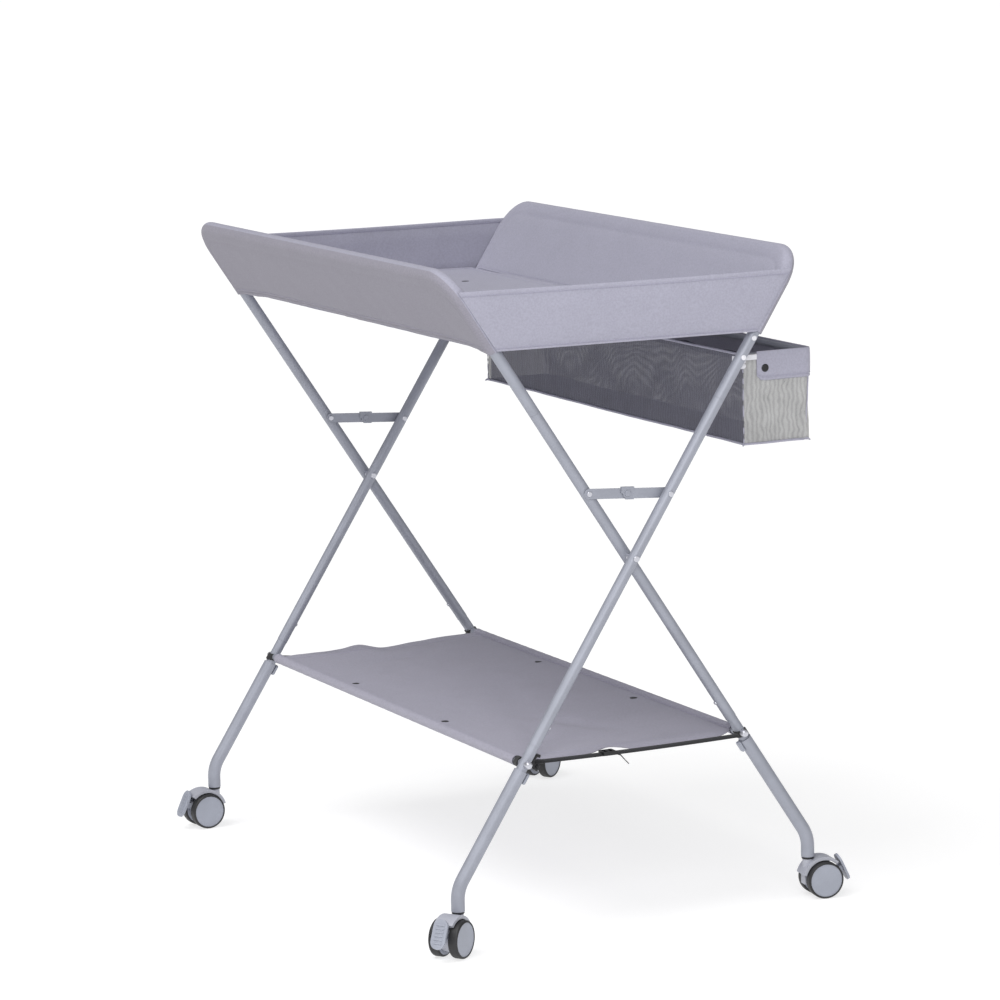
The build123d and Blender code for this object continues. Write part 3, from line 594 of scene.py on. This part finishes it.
def end_wall(end, half_name, side):
    """Half of an end wall, from the middle to the side cover's sleeve."""
    sections = []
    columns = 26
    over = 1.0 if (end, side) != ("near", B) else -3.0  # past the sleeve's centre line
    for i in range(columns + 1):
        t = i / columns
        loop = []
        for sign in (-1, 1):
            row = []
            for dz, half in wall_levels():
                z = WALL_LOW + dz
                edge = z * SIN / COS + over
                row.append(wall_point(end, side * t * edge, z, half, sign))
            loop += row if sign == -1 else list(reversed(row))
        sections.append(loop)
    body = f"{end}_wall_{half_name}"
    wall = loft(f"{body}_cloth", sections, CLOTH)
    lines = []
    for sign, index in ((-1, 11), (1, 11), (-1, 5), (1, 5)):
        loop_index = index if sign == -1 else 2 * len(WALL_PROFILE) - 1 - index
        line = [s[loop_index] for s in sections]
        lines.append(stitches(f"{body}_thread", line, [Vector((0, sign, 0))] * len(line), THREAD))
    thread = join(lines)
    thread.name = f"{body}_stitching"
    mid = (WALL_LOW + WALL_HIGH) / 2
    edge = Vector((side * mid * SIN / COS, WALL_HINGE[end, side], mid))
    for item in (wall, thread):
        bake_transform(item)
    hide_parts(body)


# ---- tray floor ----
def tray_floor(half_name, side):
    """Half of the stiffened floor: flat, turned down to the side cover's hem, bound at its ends."""
    hem_x, hem_z = HEM.x, HEM.z
    profile = []
    for i in range(18):
        profile.append((side * 166.0 * i / 18, TRAY_Z))
    profile += [(side * 166, TRAY_Z), (side * 170, TRAY_Z - 0.4), (side * 173.5, TRAY_Z - 2.4),
                (side * 175.6, TRAY_Z - 5.2), (side * (hem_x - 0.4), hem_z + 1.0)]
    rows = 88
    sections = []
    for j in range(rows + 1):
        edge = min(j, rows - j) * 9.2
        pinch = 0.5 if edge < 1 else 1.0
        roll = 0.8 if edge < 9 else 0.0
        top, low = [], []
        for x, z in profile:
            y = lerp(wall_mid("near", x) + 1.6, wall_mid("far", x) - 1.6, j / rows)
            calm = max(0.0, 1 - abs(x) / 160)
            dip = -1.6 * calm * (1 - (2 * j / rows - 1) ** 2)
            dip = dip + 0.45 * bumps(x, y, 70, 41) + 0.2 * bumps(x, y, 24, 42)
            top.append(Vector((x, y, z + dip + roll)))
            low.append(Vector((x, y, z + dip - 2.6 * pinch)))
        sections.append(top + list(reversed(low)))
    floor = loft(f"tray_floor_{half_name}_cloth", sections, CLOTH)
    threads = []
    for y_line in (1, rows - 1):
        line = [sections[y_line][k] for k in range(len(profile) - 3)]
        threads.append(stitches("floor_thread", line, [Vector((0, 0, 1))] * len(line), THREAD))
    line = [sections[j][17] for j in range(rows + 1)]
    threads.append(stitches("floor_thread", line, [Vector((0, 0, 1))] * len(line), THREAD))
    thread = join(threads)
    thread.name = f"tray_floor_{half_name}_stitching"
    for item in (floor, thread):
        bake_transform(item)
    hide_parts(f"tray_floor_{half_name}")


# ---- shelf ----
SHELF_COLUMNS, SHELF_ROWS = 48, 100
SHELF_HALF_LENGTH = 380.0


SAG = 7.0  # the deepest point of the empty shelf, below its rods


def shelf_skew(x):
    return x / abs(ROD.x) * 8.0


def shelf_flat():
    """Corner-to-corner grid of the shelf cloth between the two rods, before it sags."""
    reach = abs(ROD.x) - 5.0
    grid = []
    for j in range(SHELF_ROWS + 1):
        v = 2 * j / SHELF_ROWS - 1
        row = []
        for i in range(SHELF_COLUMNS + 1):
            x = lerp(-reach, reach, i / SHELF_COLUMNS)
            flare = 15.0 * (1 - abs(x / reach) ** 8) * abs(v) ** 6
            if v < 0 and -60 < x < 8:
                flare -= 7.0 * abs(v) ** 20 * (1 + math.cos(math.pi * (x + 26) / 34)) / 2 * 2
            skew = shelf_skew(x) * (1 - abs(v) ** 12 * (1 - abs(x / reach) ** 8))
            y = v * (SHELF_HALF_LENGTH + flare) + skew
            row.append(Vector((x, y, ROD.z + 1.0)))
        grid.append(row)
    return grid


def sag_shelf(grid):
    """Lets the cloth hang between the rods; its two long edges are sewn to the sleeves."""
    flat = [p for row in grid for p in row]
    wide = SHELF_COLUMNS + 1
    faces = [(j * wide + i, j * wide + i + 1, (j + 1) * wide + i + 1, (j + 1) * wide + i)
             for j in range(SHELF_ROWS) for i in range(SHELF_COLUMNS)]
    mesh = bpy.data.meshes.new("shelf_sim")
    mesh.from_pydata([p * MM for p in flat], [], faces)
    obj = bpy.data.objects.new("shelf_sim", mesh)
    bpy.context.scene.collection.objects.link(obj)
    held = obj.vertex_groups.new(name="held")
    held.add([k for k in range(len(flat)) if k % wide in (0, wide - 1)], 1.0, "REPLACE")
    mod = obj.modifiers.new("Cloth", "CLOTH")
    cloth = mod.settings
    cloth.quality = 8
    cloth.mass = 0.25
    cloth.tension_stiffness = 60
    cloth.compression_stiffness = 60
    cloth.shear_stiffness = 20
    cloth.bending_stiffness = 1.5
    cloth.shrink_min = -0.006
    cloth.vertex_group_mass = "held"
    mod.collision_settings.use_collision = False
    scene = bpy.context.scene
    mod.point_cache.frame_start, mod.point_cache.frame_end = 1, 60
    for f in range(1, 61):
        scene.frame_set(f)
    graph = bpy.context.evaluated_depsgraph_get()
    shape = obj.evaluated_get(graph).to_mesh()
    settled = [v.co / MM for v in shape.vertices]
    obj.evaluated_get(graph).to_mesh_clear()
    scene.frame_set(1)
    bpy.data.objects.remove(obj)
    share = SAG / max(p.z - q.z for p, q in zip(flat, settled))  # the straps and hems hold it flatter
    settled = [p.lerp(q, share) for p, q in zip(flat, settled)]
    return [settled[j * wide:(j + 1) * wide] for j in range(SHELF_ROWS + 1)]


def shelf_relief(x, y):
    """Soft folds that run in from the corners and along the loose ends."""
    end = max(0.0, 1 - (SHELF_HALF_LENGTH + 12 - abs(y)) / 110) ** 2
    if y > 0:
        lift = end * (5.5 * math.exp(-((x + 26) / 24) ** 2) - 3.0 * math.exp(-((x - 10) / 26) ** 2))
    else:
        lift = end * (3.0 * math.exp(-((x + 26) / 30) ** 2) + 1.0)
    run = 4.2 * math.exp(-(((x - 20) * 0.9 + (y + 235) * 0.35) / 16) ** 2) * math.exp(-((y + 215) / 70) ** 2)
    run += 3.8 * math.exp(-(((x + 62) * 0.9 + (y + 250) * -0.3) / 15) ** 2) * math.exp(-((y + 250) / 60) ** 2)
    run += 3.0 * math.exp(-((x * 0.8 - (y + 60) * 0.25) / 20) ** 2) * math.exp(-((y + 40) / 90) ** 2)
    fold = -2.6 * math.exp(-((y - 300 - x * 0.3) / 14) ** 2) * math.exp(-((x - 10) / 70) ** 2)
    return lift - run + fold + 1.7 * bumps(x, y, 70, 60) + 0.6 * bumps(x, y, 26, 61)


def shelf_cloths():
    """The sagged cloth, split down the middle, with a sleeve round each rod."""
    grid = sag_shelf(shelf_flat())
    middle = SHELF_COLUMNS // 2
    for half_name, side, columns in (("left", -1, range(0, middle + 1)),
                                     ("right", 1, range(middle, SHELF_COLUMNS + 1))):
        thick = 0.6
        sections = []
        for j, row in enumerate(grid):
            pinch = 0.6 if j in (0, SHELF_ROWS) else 1.0
            hem = 0.5 if min(j, SHELF_ROWS - j) in (1, 2) else 0.0
            top, low = [], []
            for i in columns:
                p = row[i]
                z = p.z + shelf_relief(p.x, p.y) * (1 - (abs(p.x) / abs(ROD.x)) ** 4)
                top.append(Vector((p.x, p.y, z + (thick + hem) * pinch)))
                low.append(Vector((p.x, p.y, z - (thick + hem) * pinch)))
            sections.append(top + list(reversed(low)))
        cloth = loft(f"shelf_{half_name}_cloth", sections, CLOTH_SHELF)
        x = side * abs(ROD.x)
        ends = [-SHELF_HALF_LENGTH + shelf_skew(x), SHELF_HALF_LENGTH + shelf_skew(x)]
        line = [Vector((x, lerp(*ends, k / 60), ROD.z)) for k in range(61)]
        sleeve = pipe(f"shelf_{half_name}_sleeve", line,
                      lambda t: 6.5 + 0.12 * math.sin(t * 190) + (0.3 if t in (0.0, 1.0) else 0),
                      CLOTH_SHELF, 20)
        inner = x - side * 8.4
        seam = [Vector((inner, p.y, ROD.z + 2.6)) for p in line]
        hem_lines = [[sections[j][k] for k in range(len(columns))] for j in (3, SHELF_ROWS - 3)]
        threads = [stitches("shelf_thread", path, [Vector((0, 0, 1))] * len(path), THREAD)
                   for path in [seam] + hem_lines]
        thread = join(threads)
        thread.name = f"shelf_{half_name}_stitching"
        for item in (cloth, sleeve, thread):
            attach(item, f"shelf_{half_name}")
        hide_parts(f"shelf_cloth_{half_name}")
        # A dark disc at the sleeve's near mouth is painted shade for the shadowed hollow inside the sleeve.
        near_end = Vector((x, ends[0], ROD.z))
        mouth = [near_end - Vector((0, 0.3, 0)), near_end]
        mouth_shade = pipe(f"shelf_{half_name}_sleeve_end", mouth, 6.0, SLEEVE_MOUTH_SHADE, 20)
        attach(mouth_shade, f"shelf_{half_name}")


# ---- straps ----
STRAP_Z = ROD.z - 1.8
STRAP_HALF, STRAP_WIDTH, STRAP_STEPS = 150, 10.0, 24
TAIL_POINTS = ((-26, -246.6), (-20, -249), (-15, -255), (-9.4, -261))
SEWN_END_POINTS = ((-133, -238.0), (-138, -236.6), (-143, -242), (-143, -251), (-138.5, -254.6), (-134.5, -249))


def strap_line(end, x):
    """Height of a strap: the near one is drawn tight, the far one hangs under the cloth."""
    return STRAP_Z - (1.6 if end == "near" else 11.0) * (1 - (x / STRAP_HALF) ** 2)


def straps():
    """Webbing from leg to leg at each end, in two halves; the near one is adjustable."""
    for end, y in ENDS.items():
        tilt = Vector((0, 1, 0.28)) if end == "near" else Vector((0, 1, 0))
        for half_name, side in (("left", -1), ("right", 1)):
            reach = [STRAP_HALF * k / STRAP_STEPS for k in range(STRAP_STEPS + 1)]
            points = [Vector((side * x, y, strap_line(end, x))) for x in reach]
            strap = ribbon(f"shelf_{end}_strap_{half_name}", points, [tilt] * len(points), STRAP_WIDTH, 1.3, WEBBING)
            pieces = [(strap, 0.15)]
            frame_name = "frame_b" if side < 0 else "frame_a"
            strap_loop(end, side, frame_name)
            if end == "near" and side < 0:
                tail = [Vector((x, y, z)) for x, z in TAIL_POINTS]
                tail_strap = ribbon("shelf_strap_tail", tail, [Vector((0, 1, 0.3))] * 4, 9.0, 1.2, WEBBING)
                fold = [Vector((x, y, z)) for x, z in SEWN_END_POINTS]
                sewn = ribbon("shelf_strap_sewn_end", fold, [Vector((0, 1, 0))] * 6, 10.4, 4.0, WEBBING)
                pieces += [(tail_strap, 0.024), (sewn, 0.034)]
            for item, length in pieces:
                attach(item, f"shelf_{half_name}")
            if end == "near":
                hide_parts(f"shelf_straps_{half_name}")


def strap_loop(end, side, frame_name):
    """Ring of webbing where a strap is sewn: round the rod behind the near left leg, else round the leg."""
    leg_side = B if side < 0 else A
    y = leg_y(leg_side, end)
    on_rod = end == "near" and side < 0
    base = on_leg(leg_side, -ROD_REACH, y + (13.5 if on_rod else 0))
    axis = Vector((0, 1, 0)) if on_rod else on_leg(leg_side, 1.0)
    out = Vector((1, 0, 0)) if on_rod else on_leg(leg_side, 0.0, 0.0, 1.0)
    across = axis.cross(out)
    bore, low, high = (5.2, -5.0, 5.0) if on_rod else (6.95, -5.5, 4.0)
    sections = []
    for k in range(28):
        a = TAU * k / 28
        ring = out * math.cos(a) + across * math.sin(a)
        outer = bore + 1.5 + 0.25 * math.sin(3 * a)
        lean = 0 if on_rod else 2.2 * math.cos(a)
        profile = ((bore, low), (outer, low + 0.4), (outer, high - 0.4), (bore, high))
        sections.append([base + ring * r + axis * (h + lean) for r, h in profile])
    loop = loft(f"{frame_name}_{end}_strap_loop", sections, WEBBING, ring=True)
    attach(loop, frame_name)


# ---- basket ----
BAND_LOW = 203.0
BAND_START = 197.0
BAND_PROFILE = (  # share of the height, half thickness
    (0.0, 0.3), (0.02, 1.3), (0.07, 1.7), (0.11, 0.9), (0.14, 1.6),
    (0.35, 1.9), (0.6, 2.0), (0.82, 1.9), (0.93, 1.7), (0.99, 1.0),
)


def basket_plan(inset=0.0, radius=10.0, start=None):
    """Outline of the basket from above, with outward normals: near end, outer side, far end, inner side."""
    x0, x1 = BAG_LOW.x + inset, BAG_HIGH.x - inset
    y0, y1 = BAG_LOW.y + inset, BAG_HIGH.y - inset
    r = radius - inset
    out = []
    first = x0 if start is None else start
    for k in range(13):
        out.append((Vector((lerp(first, x1 - r, k / 12), y0)), Vector((0, -1)), "near"))
    for k in range(1, 7):
        a = -math.pi / 2 + math.pi / 2 * k / 7
        n = Vector((math.cos(a), math.sin(a)))
        out.append((Vector((x1 - r, y0 + r)) + n * r, n, "near" if k < 4 else "outer"))
    for k in range(91):
        out.append((Vector((x1, lerp(y0 + r, y1 - r, k / 90))), Vector((1, 0)), "outer"))
    for k in range(1, 7):
        a = math.pi / 2 * k / 7
        n = Vector((math.cos(a), math.sin(a)))
        out.append((Vector((x1 - r, y1 - r)) + n * r, n, "outer" if k < 4 else "far"))
    for k in range(13):
        out.append((Vector((lerp(x1 - r, first, k / 12), y1)), Vector((0, 1)), "far"))
    if start is None:
        for k in range(1, 90):
            out.append((Vector((x0, lerp(y1, y0, k / 90))), Vector((-1, 0)), "inner"))
    return out


def basket_mesh():
    """Knitted mesh walls, gathered a little and hanging in soft vertical folds."""
    plan = basket_plan(1.0)
    rows = 26
    low, high = BAG_LOW.z + 2.0, BAG_HIGH.z - 3.0
    verts, faces, uvs, tags = [], [], [], []
    along = [0.0]
    for (p, _, _), (q, _, _) in zip(plan, plan[1:] + plan[:1]):
        along.append(along[-1] + (q - p).length)
    count = len(plan)
    for r in range(rows + 1):
        t = r / rows
        z = lerp(low, high, t)
        for k, (p, n, tag) in enumerate(plan):
            w = along[k]
            free = math.sin(math.pi * min(1.0, t * 1.15)) if tag != "inner" else math.sin(math.pi * t)
            crinkle = 0.9 * bumps(w, z * 0.35, 9, 80) + 1.1 * bumps(w, z * 0.5, 26, 81)
            crinkle = crinkle + 1.8 * bumps(w, z * 0.3, 80, 82)
            if tag in ("inner", "outer"):
                crinkle = 2.4 * bumps(w, z * 0.45, 95, 83) + 1.0 * bumps(w, z * 0.6, 40, 84)
            pull = -2.2 * math.sin(math.pi * t) if tag in ("near", "far") else -1.5 * math.sin(math.pi * t)
            shift = free * crinkle + pull * 0.6
            if tag == "outer":
                shift -= 7.0 * (1 - t)
            lift = 0.6 * bumps(w, 5, 40, 85) * (1 - t)
            verts.append(Vector((p.x + n.x * shift, p.y + n.y * shift, z + lift)))
    for r in range(rows):
        for k in range(count):
            m = (k + 1) % count
            faces.append((r * count + k, r * count + m, (r + 1) * count + m, (r + 1) * count + k))
            z0, z1 = lerp(low, high, r / rows) * MM, lerp(low, high, (r + 1) / rows) * MM
            a0, a1 = along[k] * MM, along[k + 1] * MM
            uvs += [(a0, z0), (a1, z0), (a1, z1), (a0, z1)]
            tags.append(1 if plan[k][2] in ("inner", "outer") else 0)
    walls = piece("basket_mesh_walls", verts, faces, [MESH, MESH_PAINTED_SHADE], uvs)
    # The long sides take the darker copy of the mesh, painted shade.
    for polygon, tag in zip(walls.data.polygons, tags):
        polygon.material_index = tag
    return walls, along[-1]


def basket_band():
    """Padded cloth band round the near end, the outer side and the far end."""
    plan = basket_plan(0.9, start=BAND_START)
    span = BAG_HIGH.z - BAND_LOW
    total = len(plan) - 1
    sections = []
    for k, (p, n, tag) in enumerate(plan):
        edge = min(k, total - k)
        cut = 6.0 * (1 - min(1.0, edge / 1.5)) ** 2
        pad = 0.35 + 0.65 * min(1.0, edge / 1.0)
        rows = []
        for t, half in BAND_PROFILE:
            z = BAND_LOW + cut + (span - cut) * t
            w = p.x + p.y
            ripple = 0.35 * bumps(w, z, 45, 90) + 0.2 * bumps(w, z, 16, 91)
            sag = -0.8 * math.sin(math.pi * k / total) * t
            rows.append((z + sag, half * pad, ripple * pad))
        loop = [Vector((p.x + n.x * (h + r), p.y + n.y * (h + r), z)) for z, h, r in rows]
        loop += [Vector((p.x + n.x * (r - h * 1.3), p.y + n.y * (r - h * 1.3), z))
                 for z, h, r in reversed(rows)]
        sections.append(loop)
    band = loft("basket_band", sections, CLOTH)
    line = [s[4] for s in sections]
    outs = [Vector((n.x, n.y, 0)) for _, n, _ in plan]
    thread = stitches("basket_band_stitching", line, outs, THREAD)
    return band, thread


def basket():
    """Mesh bag with a cloth band, a firm bottom panel, piped seams and dog-eared corners."""
    walls, girth = basket_mesh()
    band, band_thread = basket_band()
    x0, x1, y0, y1 = BAG_LOW.x, BAG_HIGH.x, BAG_LOW.y, BAG_HIGH.y
    z = BAG_LOW.z + 1.6
    bottom_rows = []
    for j in range(61):
        y = lerp(y0 + 1.5, y1 - 1.5, j / 60)
        top = []
        for i in range(9):
            x = lerp(x0 + 1.5, x1 - 9.5, i / 8)
            sag = -1.0 * math.sin(math.pi * i / 8) * math.sin(math.pi * j / 60) + 0.5 * bumps(x, y, 60, 95)
            top.append(Vector((x, y, z + sag)))
        half = Vector((0, 0, 0.8))
        bottom_rows.append([p + half for p in top] + [p - half for p in reversed(top)])
    bottom = loft("basket_bottom", bottom_rows, BASE_PANEL)
    rim = [Vector((lerp(x0, x1 - 8, (p.x - x0) / (x1 - x0)), p.y, z + 0.8 * bumps(p.x, p.y, 50, 96)))
           for p, _, _ in basket_plan(0.6)]
    piping = pipe("basket_bottom_piping", rim + rim[:2], 1.5, CLOTH, 10)
    extras = [piping]
    for cx, cy, dx, dy in ((x0, y0, -1, -1), (x1 - 8, y0, 1, -1), (x1 - 8, y1, 1, 1), (x0, y1, -1, 1)):
        inward = Vector((-dx * 5.0, -dy * 5.0, 0.4))
        corner = Vector((cx + dx * 0.6, cy + dy * 0.6, z))
        ear = [corner + inward, corner, corner + Vector((dx * 1.8, dy * 1.8, -1.6))]
        extras.append(pipe("basket_ear", ear, lambda t: 2.2 - 1.4 * t, CLOTH, 10))
        x_in, y_in = cx - dx * (0.8 if dx < 0 else 2.2), cy - dy * (0.8 if dx < 0 else 2.2)
        lean = 7.0 if dx > 0 else 0.0
        seam = []
        for k in range(17):
            wander = 0.9 * bumps(k, 0, 3, cx)
            seam.append(Vector((x_in + lean * k / 16 + wander, y_in, lerp(z, BAG_HIGH.z - 5, k / 16))))
        extras.append(pipe("basket_seam", seam, 0.9, CLOTH, 8))
    binding = []
    for k in range(61):
        height = BAG_HIGH.z - 3.4 - 1.2 * math.sin(math.pi * k / 60)
        binding.append(Vector((x0 + 1.0, lerp(y0 + 2, y1 - 2, k / 60), height)))
    extras.append(pipe("basket_inner_binding", binding, 1.6, CLOTH, 10))
    trim = join(extras)
    trim.name = "basket_piping"
    for item in (walls, band, band_thread, bottom, trim):
        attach(item, "frame_b")
    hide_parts("basket_bag")


# ---- small parts ----
FOOT_Z = -418.0
COLLAR_PROFILE = ((6.4, -2.9), (7.6, -2.9), (8.0, -2.4), (8.0, -0.5), (7.8, -0.1), (6.4, -0.1))  # radius, height


def tube_rings():
    """Black collar between each leg's open end and its caster."""
    for frame_name in FRAMES:
        for end in ENDS:
            swivel = local(JOINTS[f"{frame_name}_{end}_swivel"]["pos_m"])
            sections = []
            for k in range(32):
                a = TAU * k / 32
                d = Vector((math.cos(a), math.sin(a), 0))
                base = Vector((swivel.x, swivel.y, FOOT_Z))
                sections.append([base + d * r + Vector((0, 0, h)) for r, h in COLLAR_PROFILE])
            ring = loft(f"{frame_name}_{end}_tube_collar", sections, BLACK, ring=True)
            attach(ring, f"{frame_name}_{end}_foot")


# ---- floor, light and camera ----
FLOOR_HALF = 40.0  # metres


def stage():
    mesh = bpy.data.meshes.new("studio_floor")
    corners = [(FLOOR_HALF * x, FLOOR_HALF * y, 0) for x, y in ((-1, -1), (1, -1), (1, 1), (-1, 1))]
    mesh.from_pydata(corners, [], [(0, 1, 2, 3)])
    floor = bpy.data.objects.new("studio_floor", mesh)
    bpy.context.scene.collection.objects.link(floor)
    n = Nodes("studio_floor_paint")
    n.set(Base_Color=(0.4, 0.4, 0.4, 1), Roughness=0.9, Specular_IOR_Level=0.1)
    n.set(Emission_Color=(1, 1, 1, 1), Emission_Strength=0.7)
    mesh.materials.append(n.mat)


WORLD_TOWARDS = (-0.3, -0.7, 0.6)  # where the studio is brightest
WORLD_DIM, WORLD_BRIGHT, WORLD_STRENGTH = (0.40, 0.40, 0.41), (1.0, 1.0, 1.0), 0.60
KEY_POWER, KEY_PLACE, KEY_SIZE = 31.0, (-0.9, -2.7, 1.9), 1.4
KEY_TARGET = (0, -0.1, 0.6)
TOP_STRENGTH, TOP_PLACE, TOP_SPREAD = 1.6, (-1.9, -0.2, 3.6), 35  # spread in degrees


def light(name, kind, energy, place, target, size=1.0):
    data = bpy.data.lights.new(name, kind)
    data.energy = energy
    if kind == "AREA":
        data.size = size
    else:
        data.angle = size
    lamp = bpy.data.objects.new(name, data)
    bpy.context.scene.collection.objects.link(lamp)
    lamp.location = place
    lamp.rotation_euler = (Vector(target) - Vector(place)).to_track_quat("-Z", "Y").to_euler()


def lights():
    """Soft studio: brighter overhead and towards the front, dim behind; one large lamp near the front."""
    world = bpy.data.worlds.new("studio")
    world.use_nodes = True
    tree = world.node_tree
    where = tree.nodes.new("ShaderNodeTexCoord")
    facing = tree.nodes.new("ShaderNodeVectorMath")
    facing.operation = "DOT_PRODUCT"
    facing.inputs[1].default_value = WORLD_TOWARDS
    ramp = tree.nodes.new("ShaderNodeValToRGB")
    ramp.color_ramp.elements[0].position, ramp.color_ramp.elements[1].position = 0.0, 1.0
    ramp.color_ramp.elements[0].color = (*WORLD_DIM, 1)
    ramp.color_ramp.elements[1].color = (*WORLD_BRIGHT, 1)
    tree.links.new(where.outputs["Generated"], facing.inputs[0])
    tree.links.new(facing.outputs["Value"], ramp.inputs["Fac"])
    tree.links.new(ramp.outputs["Color"], tree.nodes["Background"].inputs["Color"])
    tree.nodes["Background"].inputs["Strength"].default_value = WORLD_STRENGTH
    bpy.context.scene.world = world
    light("key", "AREA", KEY_POWER, KEY_PLACE, KEY_TARGET, KEY_SIZE)
    light("top", "SUN", TOP_STRENGTH, TOP_PLACE, (0, 0, 0), math.radians(TOP_SPREAD))
    bpy.context.scene.view_settings.view_transform = "Standard"


CAMERA_FROM_PIVOT = Vector((-2465.6, -5192.4, 954.2))  # millimetres
CAMERA_YAW, CAMERA_PITCH, CAMERA_ROLL = 0.4454, 0.1616, -0.0248
CAMERA_LENS = 157.9


def camera():
    data = bpy.data.cameras.new("camera")
    data.lens, data.sensor_width = CAMERA_LENS, 36.0
    data.clip_end = 200.0
    obj = bpy.data.objects.new("camera", data)
    bpy.context.scene.collection.objects.link(obj)
    forward = Vector((math.sin(CAMERA_YAW) * math.cos(CAMERA_PITCH),
                      math.cos(CAMERA_YAW) * math.cos(CAMERA_PITCH), -math.sin(CAMERA_PITCH)))
    right = forward.cross(Vector((0, 0, 1))).normalized()
    up = right.cross(forward)
    c, s = math.cos(CAMERA_ROLL), math.sin(CAMERA_ROLL)
    right, up = right * c + up * s, up * c - right * s
    turn = Matrix((right, up, -forward)).transposed().to_4x4()
    obj.matrix_world = Matrix.Translation(PIVOT + CAMERA_FROM_PIVOT * MM) @ turn
    bpy.context.scene.camera = obj


camera()
lights()
stage()
dress_cad_nodes()
for frame_name, side in FRAMES.items():
    side_cover(frame_name, side)
for half_name, side in (("left", A), ("right", B)):
    tray_floor(half_name, side)
    for end in ENDS:
        end_wall(end, half_name, side)
shelf_cloths()
straps()
basket()
tube_rings()
